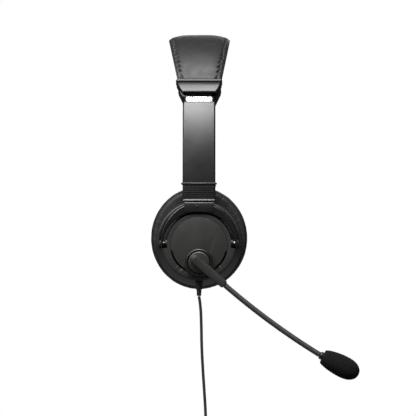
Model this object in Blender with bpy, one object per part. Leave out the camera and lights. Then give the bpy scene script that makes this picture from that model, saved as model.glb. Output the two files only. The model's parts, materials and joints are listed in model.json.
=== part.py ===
"""Office headset: a padded steel headband, two sliding arms, two tilting ear cups and a turning boom microphone.

Run it with: blender --background --python part.py

The row frame has its origin at the underside of the head pad at the crown. +Z is up, +X is where a wearer
faces, and the microphone cup is at -Y. Sizes below are millimetres; meshes are made in metres.
"""

import math

import bmesh
import bpy
from mathutils import Matrix, Vector

MM = 0.001
RIGHT, LEFT = -1, 1
SIDES = {"right": RIGHT, "left": LEFT}
GAP = 0.3

# Headband curve: the outer face of the steel strip, a small arc over the crown and a large one down each side.
CROWN_RADIUS = 62.0
SIDE_RADIUS = 180.0
BREAK_ANGLE = 58.0
STRIP_TOP = 7.43
CROWN_CENTRE_Z = STRIP_TOP - CROWN_RADIUS
SIDE_CENTRE_Y = (SIDE_RADIUS - CROWN_RADIUS) * math.sin(math.radians(BREAK_ANGLE))
SIDE_CENTRE_Z = CROWN_CENTRE_Z - (SIDE_RADIUS - CROWN_RADIUS) * math.cos(math.radians(BREAK_ANGLE))

STRIP_WIDTH = 19.5
STRIP_THICKNESS = 0.8
STRIP_END_ANGLE = 85.0

PAD_WIDTH_CROWN = 47.0
PAD_WIDTH_END = 32.0
PAD_EDGE, PAD_CROWN = 2.6, 6.57
CAP_TOP_Z, CAP_BOTTOM_Z, LINER_BOTTOM_Z = -28.0, -35.8, -41.3
CAP_SCREW_ANGLE = 61.9

SLEEVE_TOP_Z, SLEEVE_BOTTOM_Z = -42.3, -117.3
SLEEVE_WIDTH = 24.6
SLEEVE_OUT, SLEEVE_IN = 2.6, -4.2
POCKET_HALF = 10.1
RIDGE_Z, RIDGE_BUMP = -104.0, 1.1
RIB_TOP_Z, RIB_PITCH, RIB_COUNT, RIB_DEPTH = -106.0, 1.65, 6, 0.45
SLEEVE_SCREW_ANGLE = 88.0

# Ear cups. Depth is the distance outwards from the headset's middle plane.
CUP_CENTRE_Z = -149.0
CUSHION_CENTRE_Z = -145.6
CUSHION_HALF_X, CUSHION_HALF_Z = 36.7, 38.9
CUSHION_FACE, CUSHION_BACK = 42.0, 61.0
RIM_RADIUS, RIM_BACK, RIM_FRONT = 32.8, 63.3, 66.0
FACE_RADIUS, FACE_DEPTH = 27.2, 83.0
WALL = 1.8
SHELF_DEPTH = 70.0
PLATE_CENTRE_Z, PLATE_RADIUS = -150.8, 21.25
SLOT_WIDTH, SLOT_START, SLOT_END = 1.0, 12.0, 60.0
PIN_Z, PIN_DEPTH, PIN_RADIUS = -148.8, 79.0, 1.2
YOKE_OUTER_TOP, YOKE_INNER_TOP = 30.8, 23.3
YOKE_OUTER_TIP, YOKE_INNER_TIP = 28.6, 27.4
YOKE_BACK, YOKE_FRONT = 77.0, 84.6

# Boom, in the plane of the cup's face.
HUB_Z = -163.2
HUB_RADIUS = 10.3
TURRET_RADIUS = 8.05
BOOM_DEPTH = 91.6
BOOM_ANGLE = -41.0
BOOM_ARM_LENGTH, BOOM_ARM_TAIL = 25.3, 7.1
GOOSENECK_LENGTH, GOOSENECK_TURN, GOOSENECK_RADIUS = 87.8, 9.4, 2.0
BEND_GAP = 1.4
COLLAR_ANGLE, FOAM_ANGLE = -29.0, -27.0
FOAM_LENGTH, FOAM_RADIUS = 30.0, 8.2

# Cable: its route down from the strain relief, then a tied hank and the plug.
RELIEF_DEPTH, RELIEF_TOP_Z, RELIEF_RIB_Z, RELIEF_END_Z = 78.5, -174.6, -182.9, -188.6
CORD_RADIUS = 1.1
HANK_X, HANK_TOP_Z = -6.0, -284.0
HANK_RUN, HANK_RADIUS, HANK_THICKNESS = 40.0, 12.1, 11.0
HANK_DEPTH = RELIEF_DEPTH - HANK_THICKNESS / 2 + CORD_RADIUS
CORD_ROUTE = [
    (0.0, -188.9), (0.5, -192.0), (1.0, -196.0), (1.4, -201.0), (1.6, -207.0), (1.8, -214.0), (1.9, -221.0),
    (2.1, -228.0), (2.4, -235.0), (2.8, -242.0), (3.2, -249.0), (3.7, -256.0), (4.2, -264.0), (4.7, -272.0),
    (5.0, -280.0), (5.0, -288.4),
]

MATERIALS = {
    "satin_plastic": ((0.022, 0.022, 0.023), 0.42, 0.0),
    "face_plastic": ((0.03, 0.03, 0.029), 0.5, 0.0),
    "inner_plastic": ((0.015, 0.015, 0.015), 0.6, 0.0),
    "leatherette": ((0.02, 0.02, 0.021), 0.45, 0.0),
    "polished_steel": ((0.78, 0.78, 0.8), 0.18, 1.0),
    "screw_steel": ((0.45, 0.45, 0.47), 0.3, 1.0),
    "gooseneck_rubber": ((0.025, 0.025, 0.026), 0.6, 0.0),
    "windscreen_foam": ((0.008, 0.008, 0.008), 1.0, 0.0),
    "cable_rubber": ((0.012, 0.012, 0.012), 0.55, 0.0),
    "speaker_cloth": ((0.01, 0.01, 0.01), 0.95, 0.0),
    "cone_film": ((0.05, 0.045, 0.04), 0.5, 0.0),
    "circuit_green": ((0.01, 0.09, 0.035), 0.5, 0.0),
}


# --- scene and bodies ---------------------------------------------------------------------------------------

def clear_scene():
    for old in list(bpy.data.objects):
        bpy.data.objects.remove(old, do_unlink=True)


def make_material(name):
    colour, roughness, metallic = MATERIALS[name]
    material = bpy.data.materials.new(name)
    material.use_nodes = True
    shader = material.node_tree.nodes["Principled BSDF"]
    shader.inputs["Base Color"].default_value = (*colour, 1.0)
    shader.inputs["Roughness"].default_value = roughness
    shader.inputs["Metallic"].default_value = metallic
    material.diffuse_color = (*colour, 1.0)
    return material


def body(name, pivot):
    """The empty on a body's joint axis, which its pieces are parented to."""
    empty = bpy.data.objects.new(name, None)
    empty.location = Vector(pivot) * MM
    bpy.context.collection.objects.link(empty)
    return empty


def piece(name, mesh_shape, material, parent):
    """Turns a bmesh in row millimetres into an object of its body, with its origin on the body's joint axis."""
    bmesh.ops.remove_doubles(mesh_shape, verts=mesh_shape.verts, dist=1e-4)
    bmesh.ops.recalc_face_normals(mesh_shape, faces=mesh_shape.faces)
    mesh_shape.transform(Matrix.Translation(-parent.location) @ Matrix.Scale(MM, 4))
    mesh = bpy.data.meshes.new(name)
    mesh_shape.to_mesh(mesh)
    mesh_shape.free()
    mesh.shade_smooth()
    mesh.set_sharp_from_angle(angle=math.radians(35))
    made = bpy.data.objects.new(name, mesh)
    bpy.context.collection.objects.link(made)
    made.parent = parent
    if material:
        mesh.materials.append(materials[material])
    return made


def cut(target, shape, operation="DIFFERENCE"):
    """Adds a Boolean whose operand is a hidden helper under the same parent."""
    name = f"{target.name}_helper_{len(target.modifiers) + 1}"
    helper = piece(name, shape, None, target.parent)
    helper.hide_render = True
    helper.display_type = "WIRE"
    modifier = target.modifiers.new(name, "BOOLEAN")
    modifier.operation = operation
    modifier.solver = "EXACT"
    modifier.object = helper


# --- shapes ------------------------------------------------------------------------------------------------

def turned(profile, centre, side=RIGHT, segments=32, loop=True, stretch=(1.0, 1.0), start=0.0, angle=360.0):
    """A solid turned about an axis along Y. The profile is (radius, depth) points; centre is (x, z)."""
    shape = bmesh.new()
    corners = [shape.verts.new((radius, side * depth, 0.0)) for radius, depth in profile]
    lines = [shape.edges.new(pair) for pair in zip(corners, corners[1:])]
    if loop:
        lines.append(shape.edges.new((corners[-1], corners[0])))
    geometry = corners + lines
    if angle < 360.0:
        geometry.append(shape.faces.new(corners))
        bmesh.ops.rotate(shape, verts=corners, cent=(0, 0, 0), matrix=Matrix.Rotation(math.radians(-start), 3, "Y"))
    bmesh.ops.spin(
        shape, geom=geometry, cent=(0, 0, 0), axis=(0, -1, 0), angle=math.radians(angle), steps=segments,
    )
    bmesh.ops.remove_doubles(shape, verts=shape.verts, dist=1e-4)
    shape.transform(Matrix.Diagonal((stretch[0], 1.0, stretch[1], 1.0)))
    shape.transform(Matrix.Translation((centre[0], 0.0, centre[1])))
    return shape


def lofted(sections):
    """A closed skin through sections of equal point counts, with flat ends."""
    shape = bmesh.new()
    rings = [[shape.verts.new(point) for point in section] for section in sections]
    for ring, following in zip(rings, rings[1:]):
        for i in range(len(ring)):
            shape.faces.new((ring[i - 1], ring[i], following[i], following[i - 1]))
    shape.faces.new(rings[0])
    shape.faces.new(list(reversed(rings[-1])))
    return shape


def prism(outline, near, far, side=RIGHT):
    """An (x, z) outline extruded between two depths."""
    return lofted([[(x, side * depth, z) for x, z in outline] for depth in (near, far)])


def box(low, high):
    (x0, y0, z0), (x1, y1, z1) = low, high
    return lofted([[(x0, y0, z), (x1, y0, z), (x1, y1, z), (x0, y1, z)] for z in (z0, z1)])


def rod(start, end, radius, segments=16, taper=1.0):
    """A round bar between two points."""
    start, end = Vector(start), Vector(end)
    along = (end - start).normalized()
    turn = along.to_track_quat("Z", "Y")
    circle = [
        turn @ Vector((radius * math.cos(a), radius * math.sin(a), 0))
        for a in (2 * math.pi * i / segments for i in range(segments))
    ]
    return lofted([[start + point for point in circle], [end + taper * point for point in circle]])


def turned_along(profile, start, direction, segments=20):
    """A solid turned about a free axis: (radius, distance along) points, the first and last on the axis."""
    shape = bmesh.new()
    corners = [shape.verts.new((radius, 0.0, along)) for radius, along in profile]
    lines = [shape.edges.new(pair) for pair in zip(corners, corners[1:])]
    if profile[0][0] > 0:
        lines.append(shape.edges.new((corners[-1], corners[0])))
    bmesh.ops.spin(
        shape, geom=corners + lines, cent=(0, 0, 0), axis=(0, 0, 1), angle=2 * math.pi, steps=segments,
    )
    bmesh.ops.remove_doubles(shape, verts=shape.verts, dist=1e-4)
    turn = Vector(direction).to_track_quat("Z", "Y").to_matrix().to_4x4()
    shape.transform(Matrix.Translation(start) @ turn)
    return shape


# --- the headband's curve ----------------------------------------------------------------------------------

def band_angle(z):
    """The angle from the crown, in degrees, at a height on the side arc."""
    return math.degrees(math.acos((z - SIDE_CENTRE_Z) / SIDE_RADIUS))


def band_point(angle, side, across, out):
    """The point at an angle from the crown, a distance across the band and outwards from the strip's face."""
    turn = math.radians(angle)
    if angle <= BREAK_ANGLE:
        centre_y, centre_z, radius = 0.0, CROWN_CENTRE_Z, CROWN_RADIUS + out
    else:
        centre_y, centre_z, radius = -SIDE_CENTRE_Y, SIDE_CENTRE_Z, SIDE_RADIUS + out
    return Vector((across, side * (centre_y + radius * math.sin(turn)), centre_z + radius * math.cos(turn)))


def along_band(stations, side, section):
    """A solid whose section(angle) lists (across, out) points."""
    return lofted([[band_point(a, side, x, out) for x, out in section(a)] for a in stations])


def over_crown(last, step, section):
    """The same from one side over the crown to the other, with no seam at the top."""
    count = round(last / step)
    angles = [last * i / count for i in range(-count, count + 1)]
    return lofted([
        [band_point(abs(a), LEFT if a > 0 else RIGHT, x, out) for x, out in section(abs(a))] for a in angles
    ])


def spaced(first, last, step):
    count = max(1, round((last - first) / step))
    return [first + (last - first) * i / count for i in range(count + 1)]


def pad_half_width(angle):
    """Half the pad's width, which narrows in step with the band's drop."""
    drop = STRIP_TOP - band_point(angle, LEFT, 0, 0).z
    whole = STRIP_TOP - CAP_TOP_Z
    return (PAD_WIDTH_CROWN + (PAD_WIDTH_END - PAD_WIDTH_CROWN) * min(1.0, drop / whole)) / 2


# --- headband ----------------------------------------------------------------------------------------------

def band_strip(parent):
    half = STRIP_WIDTH / 2
    flat = [(-half, -STRIP_THICKNESS), (-half, 0), (half, 0), (half, -STRIP_THICKNESS)]
    strip_angles = spaced(0, BREAK_ANGLE, 5.8) + spaced(BREAK_ANGLE, STRIP_END_ANGLE, 3.0)[1:]
    signed = [-a for a in reversed(strip_angles)] + strip_angles[1:]
    shape = lofted([
        [band_point(abs(a), LEFT if a > 0 else RIGHT, x, out) for x, out in flat] for a in signed
    ])
    strip = piece("band_spring", shape, "polished_steel", parent)
    for side in (RIGHT, LEFT):
        hole = rod(band_point(CAP_SCREW_ANGLE, side, 0, -3), band_point(CAP_SCREW_ANGLE, side, 0, 3), 1.7)
        cut(strip, hole)


def pad_outer(parent):
    def section(angle):
        half = pad_half_width(angle)
        lift = (PAD_CROWN - PAD_EDGE) * (1.0 - 0.55 * (angle / BREAK_ANGLE) ** 4)
        top = [(half * u, PAD_EDGE + lift * (1 - u * u)) for u in (-0.97, -0.6, -0.2, 0.2, 0.6, 0.97)]
        return [(half, GAP), (-half, GAP), (-half, PAD_EDGE - 0.8), *top, (half, PAD_EDGE - 0.8)]

    piece("head_pad_outer", over_crown(60.2, 6.02, section), "leatherette", parent)


def pad_inner(parent):
    def section(angle):
        half = pad_half_width(angle)
        under = -STRIP_THICKNESS - GAP
        drop = STRIP_TOP - 3.0
        belly = [(half * u, -3.0 - drop * (1 - u ** 4)) for u in (0.97, 0.6, 0.2, -0.2, -0.6, -0.97)]
        return [(-half, under), (half, under), (half, -2.6), *belly, (-half, -2.6)]

    piece("head_pad_inner", over_crown(60.2, 6.02, section), "leatherette", parent)


def end_caps(name, side, parent):
    """The outer and inner mouldings that close the pad's end over the strip, and the screw through them."""
    top, bottom = band_angle(CAP_TOP_Z), band_angle(CAP_BOTTOM_Z)
    outer_rows = [
        (top, 16.9, 6.4), (top + 0.2, 17.35, 6.9), (top + 0.6, 17.35, 6.6), (top + 1.1, 16.4, 5.4),
        (top + 1.8, 15.3, 5.0), (bottom - 0.15, 13.4, 4.95), (bottom, 13.2, 4.6),
    ]
    rows = {angle: (half, out) for angle, half, out in outer_rows}

    def outer_section(angle):
        half, out = rows[angle]
        return [(-half, 0.35), (-half, out - 0.9), (1.2 - half, out), (half - 1.2, out), (half, out - 0.9), (half, 0.35)]

    cap = piece(f"{name}_cap_outer", along_band(list(rows), side, outer_section), "satin_plastic", parent)

    liner_bottom = band_angle(LINER_BOTTOM_Z)

    def inner_section(angle):
        share = (angle - top) / (liner_bottom - top)
        half = 17.2 + (11.4 - 17.2) * share
        deep = -6.3 + 2.6 * share
        return [
            (-half, deep + 1), (-half, 0.0), (-POCKET_HALF, 0.0), (-POCKET_HALF, -1.15),
            (POCKET_HALF, -1.15), (POCKET_HALF, 0.0), (half, 0.0), (half, deep + 1), (half - 1, deep), (1 - half, deep),
        ]

    liner = piece(f"{name}_cap_inner", along_band(spaced(top, liner_bottom, 1.6), side, inner_section),
                  "satin_plastic", parent)
    cut(cap, rod(band_point(CAP_SCREW_ANGLE, side, 0, 0), band_point(CAP_SCREW_ANGLE, side, 0, 3.2), 1.4, 12))
    cut(liner, rod(band_point(CAP_SCREW_ANGLE, side, 0, -9), band_point(CAP_SCREW_ANGLE, side, 0, 1), 1.5, 12))
    cut(liner, rod(band_point(CAP_SCREW_ANGLE, side, 0, -9), band_point(CAP_SCREW_ANGLE, side, 0, -3.6), 2.6, 12))
    screw(f"{name}_cap_screw", CAP_SCREW_ANGLE, side, -4.9, -3.9, 2.8, parent)


def screw(name, angle, side, head, under_head, end, parent):
    """A pan-head screw along the band's outward direction, from its head's top to its shank's end."""
    start = band_point(angle, side, 0, head)
    direction = band_point(angle, side, 0, 1) - band_point(angle, side, 0, 0)
    step = under_head - head
    profile = [(0, 0), (1.7, 0), (2.2, 0.3), (2.2, step), (1.0, step), (1.0, end - head), (0, end - head)]
    piece(name, turned_along(profile, start, direction, 12), "screw_steel", parent)


# --- sliding arm and yoke ----------------------------------------------------------------------------------

def sleeve_rows():
    """Angle, half width and outward reach of the arm's outer moulding, from its top to its bottom bar."""
    half, out = SLEEVE_WIDTH / 2, SLEEVE_OUT
    rows = [(-42.3, half - 1.4, out - 0.5), (-42.8, half - 0.4, out), (-43.8, half, out)]
    rows += [(z, half, out) for z in (-52.0, -60.0, -68.0, -76.0, -84.0, -92.0, -99.0)]
    rows += [(RIDGE_Z + 1.3, half, out), (RIDGE_Z + 0.3, half + RIDGE_BUMP, out + 0.5)]
    rows += [(RIDGE_Z - 0.3, half + RIDGE_BUMP, out + 0.5), (RIDGE_Z - 1.3, half, out)]
    for i in range(RIB_COUNT):
        top = RIB_TOP_Z - i * RIB_PITCH
        rows += [(top, half, out), (top - 0.25, half - 0.1, out - RIB_DEPTH)]
        rows += [(top - 0.75, half - 0.1, out - RIB_DEPTH), (top - 1.0, half, out)]
    rows += [(-115.85, half, out), (-116.1, half + 0.35, out + 0.5), (-116.9, half + 0.35, out + 0.5)]
    rows += [(SLEEVE_BOTTOM_Z, half - 0.2, out)]
    return {band_angle(z): (half_width, reach) for z, half_width, reach in rows}


def arm(name, side, parent):
    rows = sleeve_rows()

    def outer_section(angle):
        half, out = rows[angle]
        return [
            (-half, -2.1), (-half, out - 1.0), (1.0 - half, out), (half - 1.0, out), (half, out - 1.0), (half, -2.1),
            (POCKET_HALF, -2.1), (POCKET_HALF, 0.35), (-POCKET_HALF, 0.35), (-POCKET_HALF, -2.1),
        ]

    outer = piece(f"{name}_sleeve_outer", along_band(list(rows), side, outer_section), "satin_plastic", parent)
    top, bottom = band_angle(SLEEVE_TOP_Z), band_angle(SLEEVE_BOTTOM_Z)

    def inner_section(angle):
        half = SLEEVE_WIDTH / 2
        return [(-half, -3.4), (-half, -2.4), (half, -2.4), (half, -3.4), (half - 0.8, -4.2), (0.8 - half, -4.2)]

    inner = piece(f"{name}_sleeve_inner", along_band(spaced(top, bottom, 2.5), side, inner_section),
                  "satin_plastic", parent)

    def leaf_section(angle):
        share = (angle - 71.0) / 10.0
        rise = -2.05 + 0.55 * math.sin(math.pi * share)
        return [(-3.0, rise), (-3.0, rise + 0.4), (3.0, rise + 0.4), (3.0, rise)]

    piece(f"{name}_detent_spring", along_band(spaced(71.0, 81.0, 1.0), side, leaf_section), "screw_steel", parent)

    cut(inner, rod(band_point(SLEEVE_SCREW_ANGLE, side, 0, -6), band_point(SLEEVE_SCREW_ANGLE, side, 0, 0), 1.4, 12))
    cut(inner, rod(band_point(SLEEVE_SCREW_ANGLE, side, 0, -6), band_point(SLEEVE_SCREW_ANGLE, side, 0, -3.1), 2.6, 12))
    cut(outer, rod(band_point(SLEEVE_SCREW_ANGLE, side, 0, 0), band_point(SLEEVE_SCREW_ANGLE, side, 0, 1.7), 1.3, 12))
    screw(f"{name}_sleeve_screw", SLEEVE_SCREW_ANGLE, side, -4.1, -3.4, 1.3, parent)


def yoke_radii(angle):
    """Inner and outer radius of the yoke's half ring, at an angle in degrees above the pins."""
    share = max(0.0, math.sin(math.radians(angle))) ** 1.3
    inner = YOKE_INNER_TIP + (YOKE_INNER_TOP - YOKE_INNER_TIP) * share
    outer = YOKE_OUTER_TIP + (YOKE_OUTER_TOP - YOKE_OUTER_TIP) * share
    return inner, outer, share


def yoke(name, side, parent):
    def section(angle):
        inner, outer, share = yoke_radii(angle)
        back = YOKE_BACK - 1.8 * (1 - share)
        front = YOKE_FRONT - 1.2 * (1 - share)
        bevel = min(1.1, 0.35 * (outer - inner))
        corners = [(inner, back), (outer, back), (outer, front - bevel), (outer - bevel, front),
                   (inner + bevel, front - 0.3), (inner, front - 0.3 - bevel)]
        turn = math.radians(angle)
        return [(r * math.cos(turn), side * d, CUP_CENTRE_Z + r * math.sin(turn)) for r, d in corners]

    ring = lofted([section(a) for a in spaced(-6.0, 186.0, 8.0)])
    made = piece(f"{name}_yoke", ring, "satin_plastic", parent)
    block = prism([(-11, -125.4), (11, -125.4), (11, -118.7), (10.4, -118.1), (-10.4, -118.1), (-11, -118.7)],
                  77.2, 85.0, side)
    cut(made, block, "UNION")

    def tongue(angle):
        return [(-8.0, -1.75), (-8.0, 0.0), (8.0, 0.0), (8.0, -1.75)]

    cut(made, along_band(spaced(86.4, 91.2, 1.6), side, tongue), "UNION")
    cut(made, rod(band_point(SLEEVE_SCREW_ANGLE, side, 0, -4), band_point(SLEEVE_SCREW_ANGLE, side, 0, 2), 1.4, 12))
    depth = side * PIN_DEPTH
    cut(made, rod((-32, depth, PIN_Z), (32, depth, PIN_Z), PIN_RADIUS + GAP, 12))
    for place, way in (("front", 1), ("rear", -1)):
        profile = [(0, 0), (1.9, 0), (1.9, 0.5), (PIN_RADIUS, 0.5), (PIN_RADIUS, 7.0), (0, 7.0)]
        pin = turned_along(profile, (way * 29.4, depth, PIN_Z), (-way, 0, 0), 12)
        piece(f"{name}_pivot_pin_{place}", pin, "screw_steel", parent)


# --- ear cup -----------------------------------------------------------------------------------------------

def upper_half(section, side, steps=24, first=-8.0, last=188.0):
    """A solid that follows section(angle) -> (radius, depth) points over the upper half of the cup."""
    rings = []
    for angle in spaced(first, last, (last - first) / steps):
        turn = math.radians(angle)
        rings.append([
            (r * math.cos(turn), side * d, CUP_CENTRE_Z + r * math.sin(turn)) for r, d in section(angle)
        ])
    return lofted(rings)


def cup_shell(name, side, parent):
    centre = (0.0, CUP_CENTRE_Z)
    outside = [(0, RIM_BACK), (RIM_RADIUS - 0.5, RIM_BACK), (RIM_RADIUS, RIM_BACK + 0.5), (RIM_RADIUS, RIM_FRONT),
               (FACE_RADIUS + 0.7, FACE_DEPTH - 0.9), (FACE_RADIUS - 0.3, FACE_DEPTH), (0, FACE_DEPTH)]
    shell = piece(f"{name}_cup_shell", turned(outside, centre, side, 40, loop=False), "face_plastic", parent)

    def trench(angle):
        share = max(0.0, math.sin(math.radians(angle)))
        inner = 22.3 + 1.7 * (1 - share ** 2)
        outer = 30.0 + 10.0 * share ** 2
        return [(inner, SHELF_DEPTH), (outer, SHELF_DEPTH), (outer, FACE_DEPTH + 4), (inner, FACE_DEPTH + 4)]

    cut(shell, upper_half(trench, side))
    wide = RIM_RADIUS - WALL
    rear_room = [(0, RIM_BACK - 2), (wide, RIM_BACK - 2), (wide, RIM_FRONT), (wide - 0.7, SHELF_DEPTH - WALL),
                 (0, SHELF_DEPTH - WALL)]
    cut(shell, turned(rear_room, centre, side, 40, loop=False))
    middle = [(0, RIM_BACK), (19.8, RIM_BACK), (19.8, FACE_DEPTH - 2.0), (0, FACE_DEPTH - 2.0)]
    cut(shell, turned(middle, (0, PLATE_CENTRE_Z + 0.6), side, 32, loop=False))
    lower = [(15, RIM_FRONT), (wide - 0.2, RIM_FRONT), (FACE_RADIUS - WALL + 0.2, FACE_DEPTH - WALL),
             (15, FACE_DEPTH - WALL)]
    cut(shell, turned(lower, centre, side, 20, start=192.0, angle=156.0))
    opening = [(0, FACE_DEPTH - 2.2), (PLATE_RADIUS + 0.35, FACE_DEPTH - 2.2), (PLATE_RADIUS + 0.35, FACE_DEPTH + 2),
               (0, FACE_DEPTH + 2)]
    cut(shell, turned(opening, (0, PLATE_CENTRE_Z), side, 40, loop=False))
    depth = side * PIN_DEPTH
    cut(shell, rod((-26, depth, PIN_Z), (26, depth, PIN_Z), PIN_RADIUS + GAP, 12))
    return shell


def face_plate(name, side, parent):
    """The disc in the middle of the cup's face. Two curved vents run along its lower edge."""
    outline = []
    for i in range(72):
        angle = 5.0 * i
        below = 360.0 - angle if angle > 270.0 else angle - 180.0
        slotted = angle > 180.0 and SLOT_START <= below <= SLOT_END
        radius = PLATE_RADIUS - (SLOT_WIDTH if slotted else 0.0)
        turn = math.radians(angle)
        outline.append((radius * math.cos(turn), PLATE_CENTRE_Z + radius * math.sin(turn)))
    return piece(f"{name}_face_plate", prism(outline, FACE_DEPTH - 1.6, FACE_DEPTH, side), "face_plastic", parent)


def cup_inside(name, side, parent):
    centre = (0.0, CUP_CENTRE_Z)
    baffle = turned([(13, 63.3), (30.6, 63.3), (30.6, 65.0), (13, 65.0)], centre, side, 32)
    piece(f"{name}_baffle", baffle, "inner_plastic", parent)
    clip = turned([(21, 61.3), (30.4, 61.3), (30.4, 63.0), (21, 63.0)], centre, side, 32)
    piece(f"{name}_cushion_ring", clip, "inner_plastic", parent)
    cloth = turned([(0, 62.0), (20.4, 62.0), (20.4, 62.5), (0, 62.5)], centre, side, 24, loop=False)
    piece(f"{name}_speaker_cloth", cloth, "speaker_cloth", parent)
    basket = [(13.5, 65.4), (16.6, 65.4), (16.6, 66.4), (15.2, 66.8), (14.0, 70.0), (9.5, 71.5), (9.5, 74.2),
              (0, 74.2), (0, 70.4), (8.5, 70.4), (12.6, 67.0)]
    frame = turned(basket[8:] + basket[:8], centre, side, 24, loop=False)
    piece(f"{name}_driver_frame", frame, "inner_plastic", parent)
    cone = [(0, 66.6), (4, 67.2), (7, 66.4), (11.8, 65.4), (12.4, 65.4), (12.2, 65.9), (7.2, 67.0), (4, 67.9),
            (0, 67.4)]
    piece(f"{name}_driver_cone", turned(cone, centre, side, 24, loop=False), "cone_film", parent)


def ear_cushion(name, side, parent):
    """A stuffed oval ring with a flat contact face."""
    profile = [(18.0, 61.0), (17.6, 52.0), (19.2, 44.6), (22.5, 42.0), (30.0, 42.0), (34.2, 44.4), (36.2, 49.5),
               (36.4, 54.0), (35.2, 59.0), (33.4, 61.0)]
    stretch = (CUSHION_HALF_X / 36.4, CUSHION_HALF_Z / 36.4)
    shape = turned(profile, (0, CUSHION_CENTRE_Z), side, 36, stretch=stretch)
    piece(f"{name}_ear_cushion", shape, "leatherette", parent)


def cup(name, side, parent):
    shell = cup_shell(name, side, parent)
    plate = face_plate(name, side, parent)
    cup_inside(name, side, parent)
    ear_cushion(name, side, parent)
    return shell, plate


# --- boom --------------------------------------------------------------------------------------------------

def boom_mount(shell, plate, parent):
    """What the microphone cup has besides: the hub ring, the circuit board and the cable's strain relief."""
    cut(plate, turned([(0, 78), (5.6, 78), (5.6, 86), (0, 86)], (0, HUB_Z), RIGHT, 20, loop=False))
    profile = [(8.45, 83.3), (HUB_RADIUS, 83.3), (HUB_RADIUS, 87.0), (9.9, 87.7), (9.1, 87.9), (8.45, 87.4)]
    hub = piece("boom_hub", turned(profile, (0, HUB_Z), RIGHT, 32), "satin_plastic", parent)
    pod = prism([(-6.6, -170.5), (-4.2, -175.6), (4.2, -175.6), (6.6, -170.5)], 83.3, 85.8)
    cut(hub, pod, "UNION")
    cut(hub, turned([(0, 80), (8.44, 80), (8.44, 90), (0, 90)], (0, HUB_Z), RIGHT, 32, loop=False))
    piece("circuit_board", box((-12, -77.0, -147.0), (12, -75.8, -136.0)), "circuit_green", parent)

    cut(shell, rod((0, -RELIEF_DEPTH, -172), (0, -RELIEF_DEPTH, -180), 3.3, 16))
    profile = [(0, 0), (2.9, 0)]
    rib = 1.66
    for i in range(5):
        top = 0.1 + rib * i
        profile += [(2.9, top + 0.9), (2.3, top + 1.1), (2.3, top + 1.45), (2.9, top + rib)]
    neck = RELIEF_TOP_Z - RELIEF_END_Z
    profile += [(2.9, 8.7), (1.9, 9.3), (1.6, neck), (0, neck)]
    relief = turned_along(profile, (0, -RELIEF_DEPTH, RELIEF_TOP_Z), (0, 0, -1), 16)
    piece("strain_relief", relief, "cable_rubber", parent)


def boom_along(distance, offset=(0.0, 0.0)):
    """A point on the boom's centre line, a distance from the turret's axis, with offsets (sideways, outwards)."""
    start = math.radians(BOOM_ANGLE)
    radius = GOOSENECK_LENGTH / math.radians(GOOSENECK_TURN)
    bent = min(max(distance - BOOM_ARM_LENGTH, 0.0), GOOSENECK_LENGTH)
    turn = bent / radius
    straight = min(distance, BOOM_ARM_LENGTH)
    x = straight * math.cos(start) + radius * (math.sin(start + turn) - math.sin(start))
    z = straight * math.sin(start) - radius * (math.cos(start + turn) - math.cos(start))
    heading = start + turn
    past = max(distance - BOOM_ARM_LENGTH - GOOSENECK_LENGTH, 0.0)
    x += past * math.cos(heading) - offset[0] * math.sin(heading)
    z += past * math.sin(heading) + offset[0] * math.cos(heading)
    return Vector((x, -BOOM_DEPTH - offset[1], HUB_Z + z))


def tube_along(first, last, step, radius, segments=12):
    """A round tube on the boom's centre line."""
    rings = []
    for distance in spaced(first, last, step):
        rings.append([
            boom_along(distance, (radius * math.cos(a), radius * math.sin(a)))
            for a in (2 * math.pi * i / segments for i in range(segments))
        ])
    return lofted(rings)


def boom(parent):
    turret = [(0, 88.6), (7.6, 88.6), (TURRET_RADIUS, 88.1), (TURRET_RADIUS, 83.8), (5.0, 83.8), (5.0, 81.0),
              (1.3, 81.0), (1.3, 86.0), (0, 86.0)]
    piece("boom_turret", turned(turret, (0, HUB_Z), RIGHT, 28, loop=False), "satin_plastic", parent)
    washer = turned([(1.7, 79.9), (7.0, 79.9), (7.0, 80.7), (1.7, 80.7)], (0, HUB_Z), RIGHT, 24)
    piece("boom_washer", washer, "screw_steel", parent)
    fixing = turned([(0, 78.2), (2.6, 78.2), (2.6, 79.6), (1.0, 79.6), (1.0, 85.6), (0, 85.6)], (0, HUB_Z), RIGHT, 12,
                    loop=False)
    piece("boom_screw", fixing, "screw_steel", parent)

    sections = []
    rows = [(-BOOM_ARM_TAIL, 1.9, 1.9), (-BOOM_ARM_TAIL + 0.9, 2.9, 2.5), (-BOOM_ARM_TAIL + 2.4, 3.5, 2.7),
            (9.0, 3.5, 2.7), (BOOM_ARM_LENGTH - 1.0, 3.1, 2.6), (BOOM_ARM_LENGTH, 2.7, 2.4)]
    for distance, half, tall in rows:
        corners = [(-half, -tall), (half, -tall), (half, tall - 1.0), (half - 0.8, tall), (0.8 - half, tall),
                   (-half, tall - 1.0)]
        sections.append([boom_along(distance, corner) for corner in corners])
    bar = piece("boom_arm", lofted(sections), "satin_plastic", parent)
    cut(bar, tube_along(16.0, BOOM_ARM_LENGTH + 2, 12, GOOSENECK_RADIUS + GAP))
    middle = BOOM_ARM_LENGTH + GOOSENECK_LENGTH / 2
    base = tube_along(16.5, middle - BEND_GAP / 2, 7.0, GOOSENECK_RADIUS)
    piece("gooseneck_base", base, "gooseneck_rubber", parent)


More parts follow.
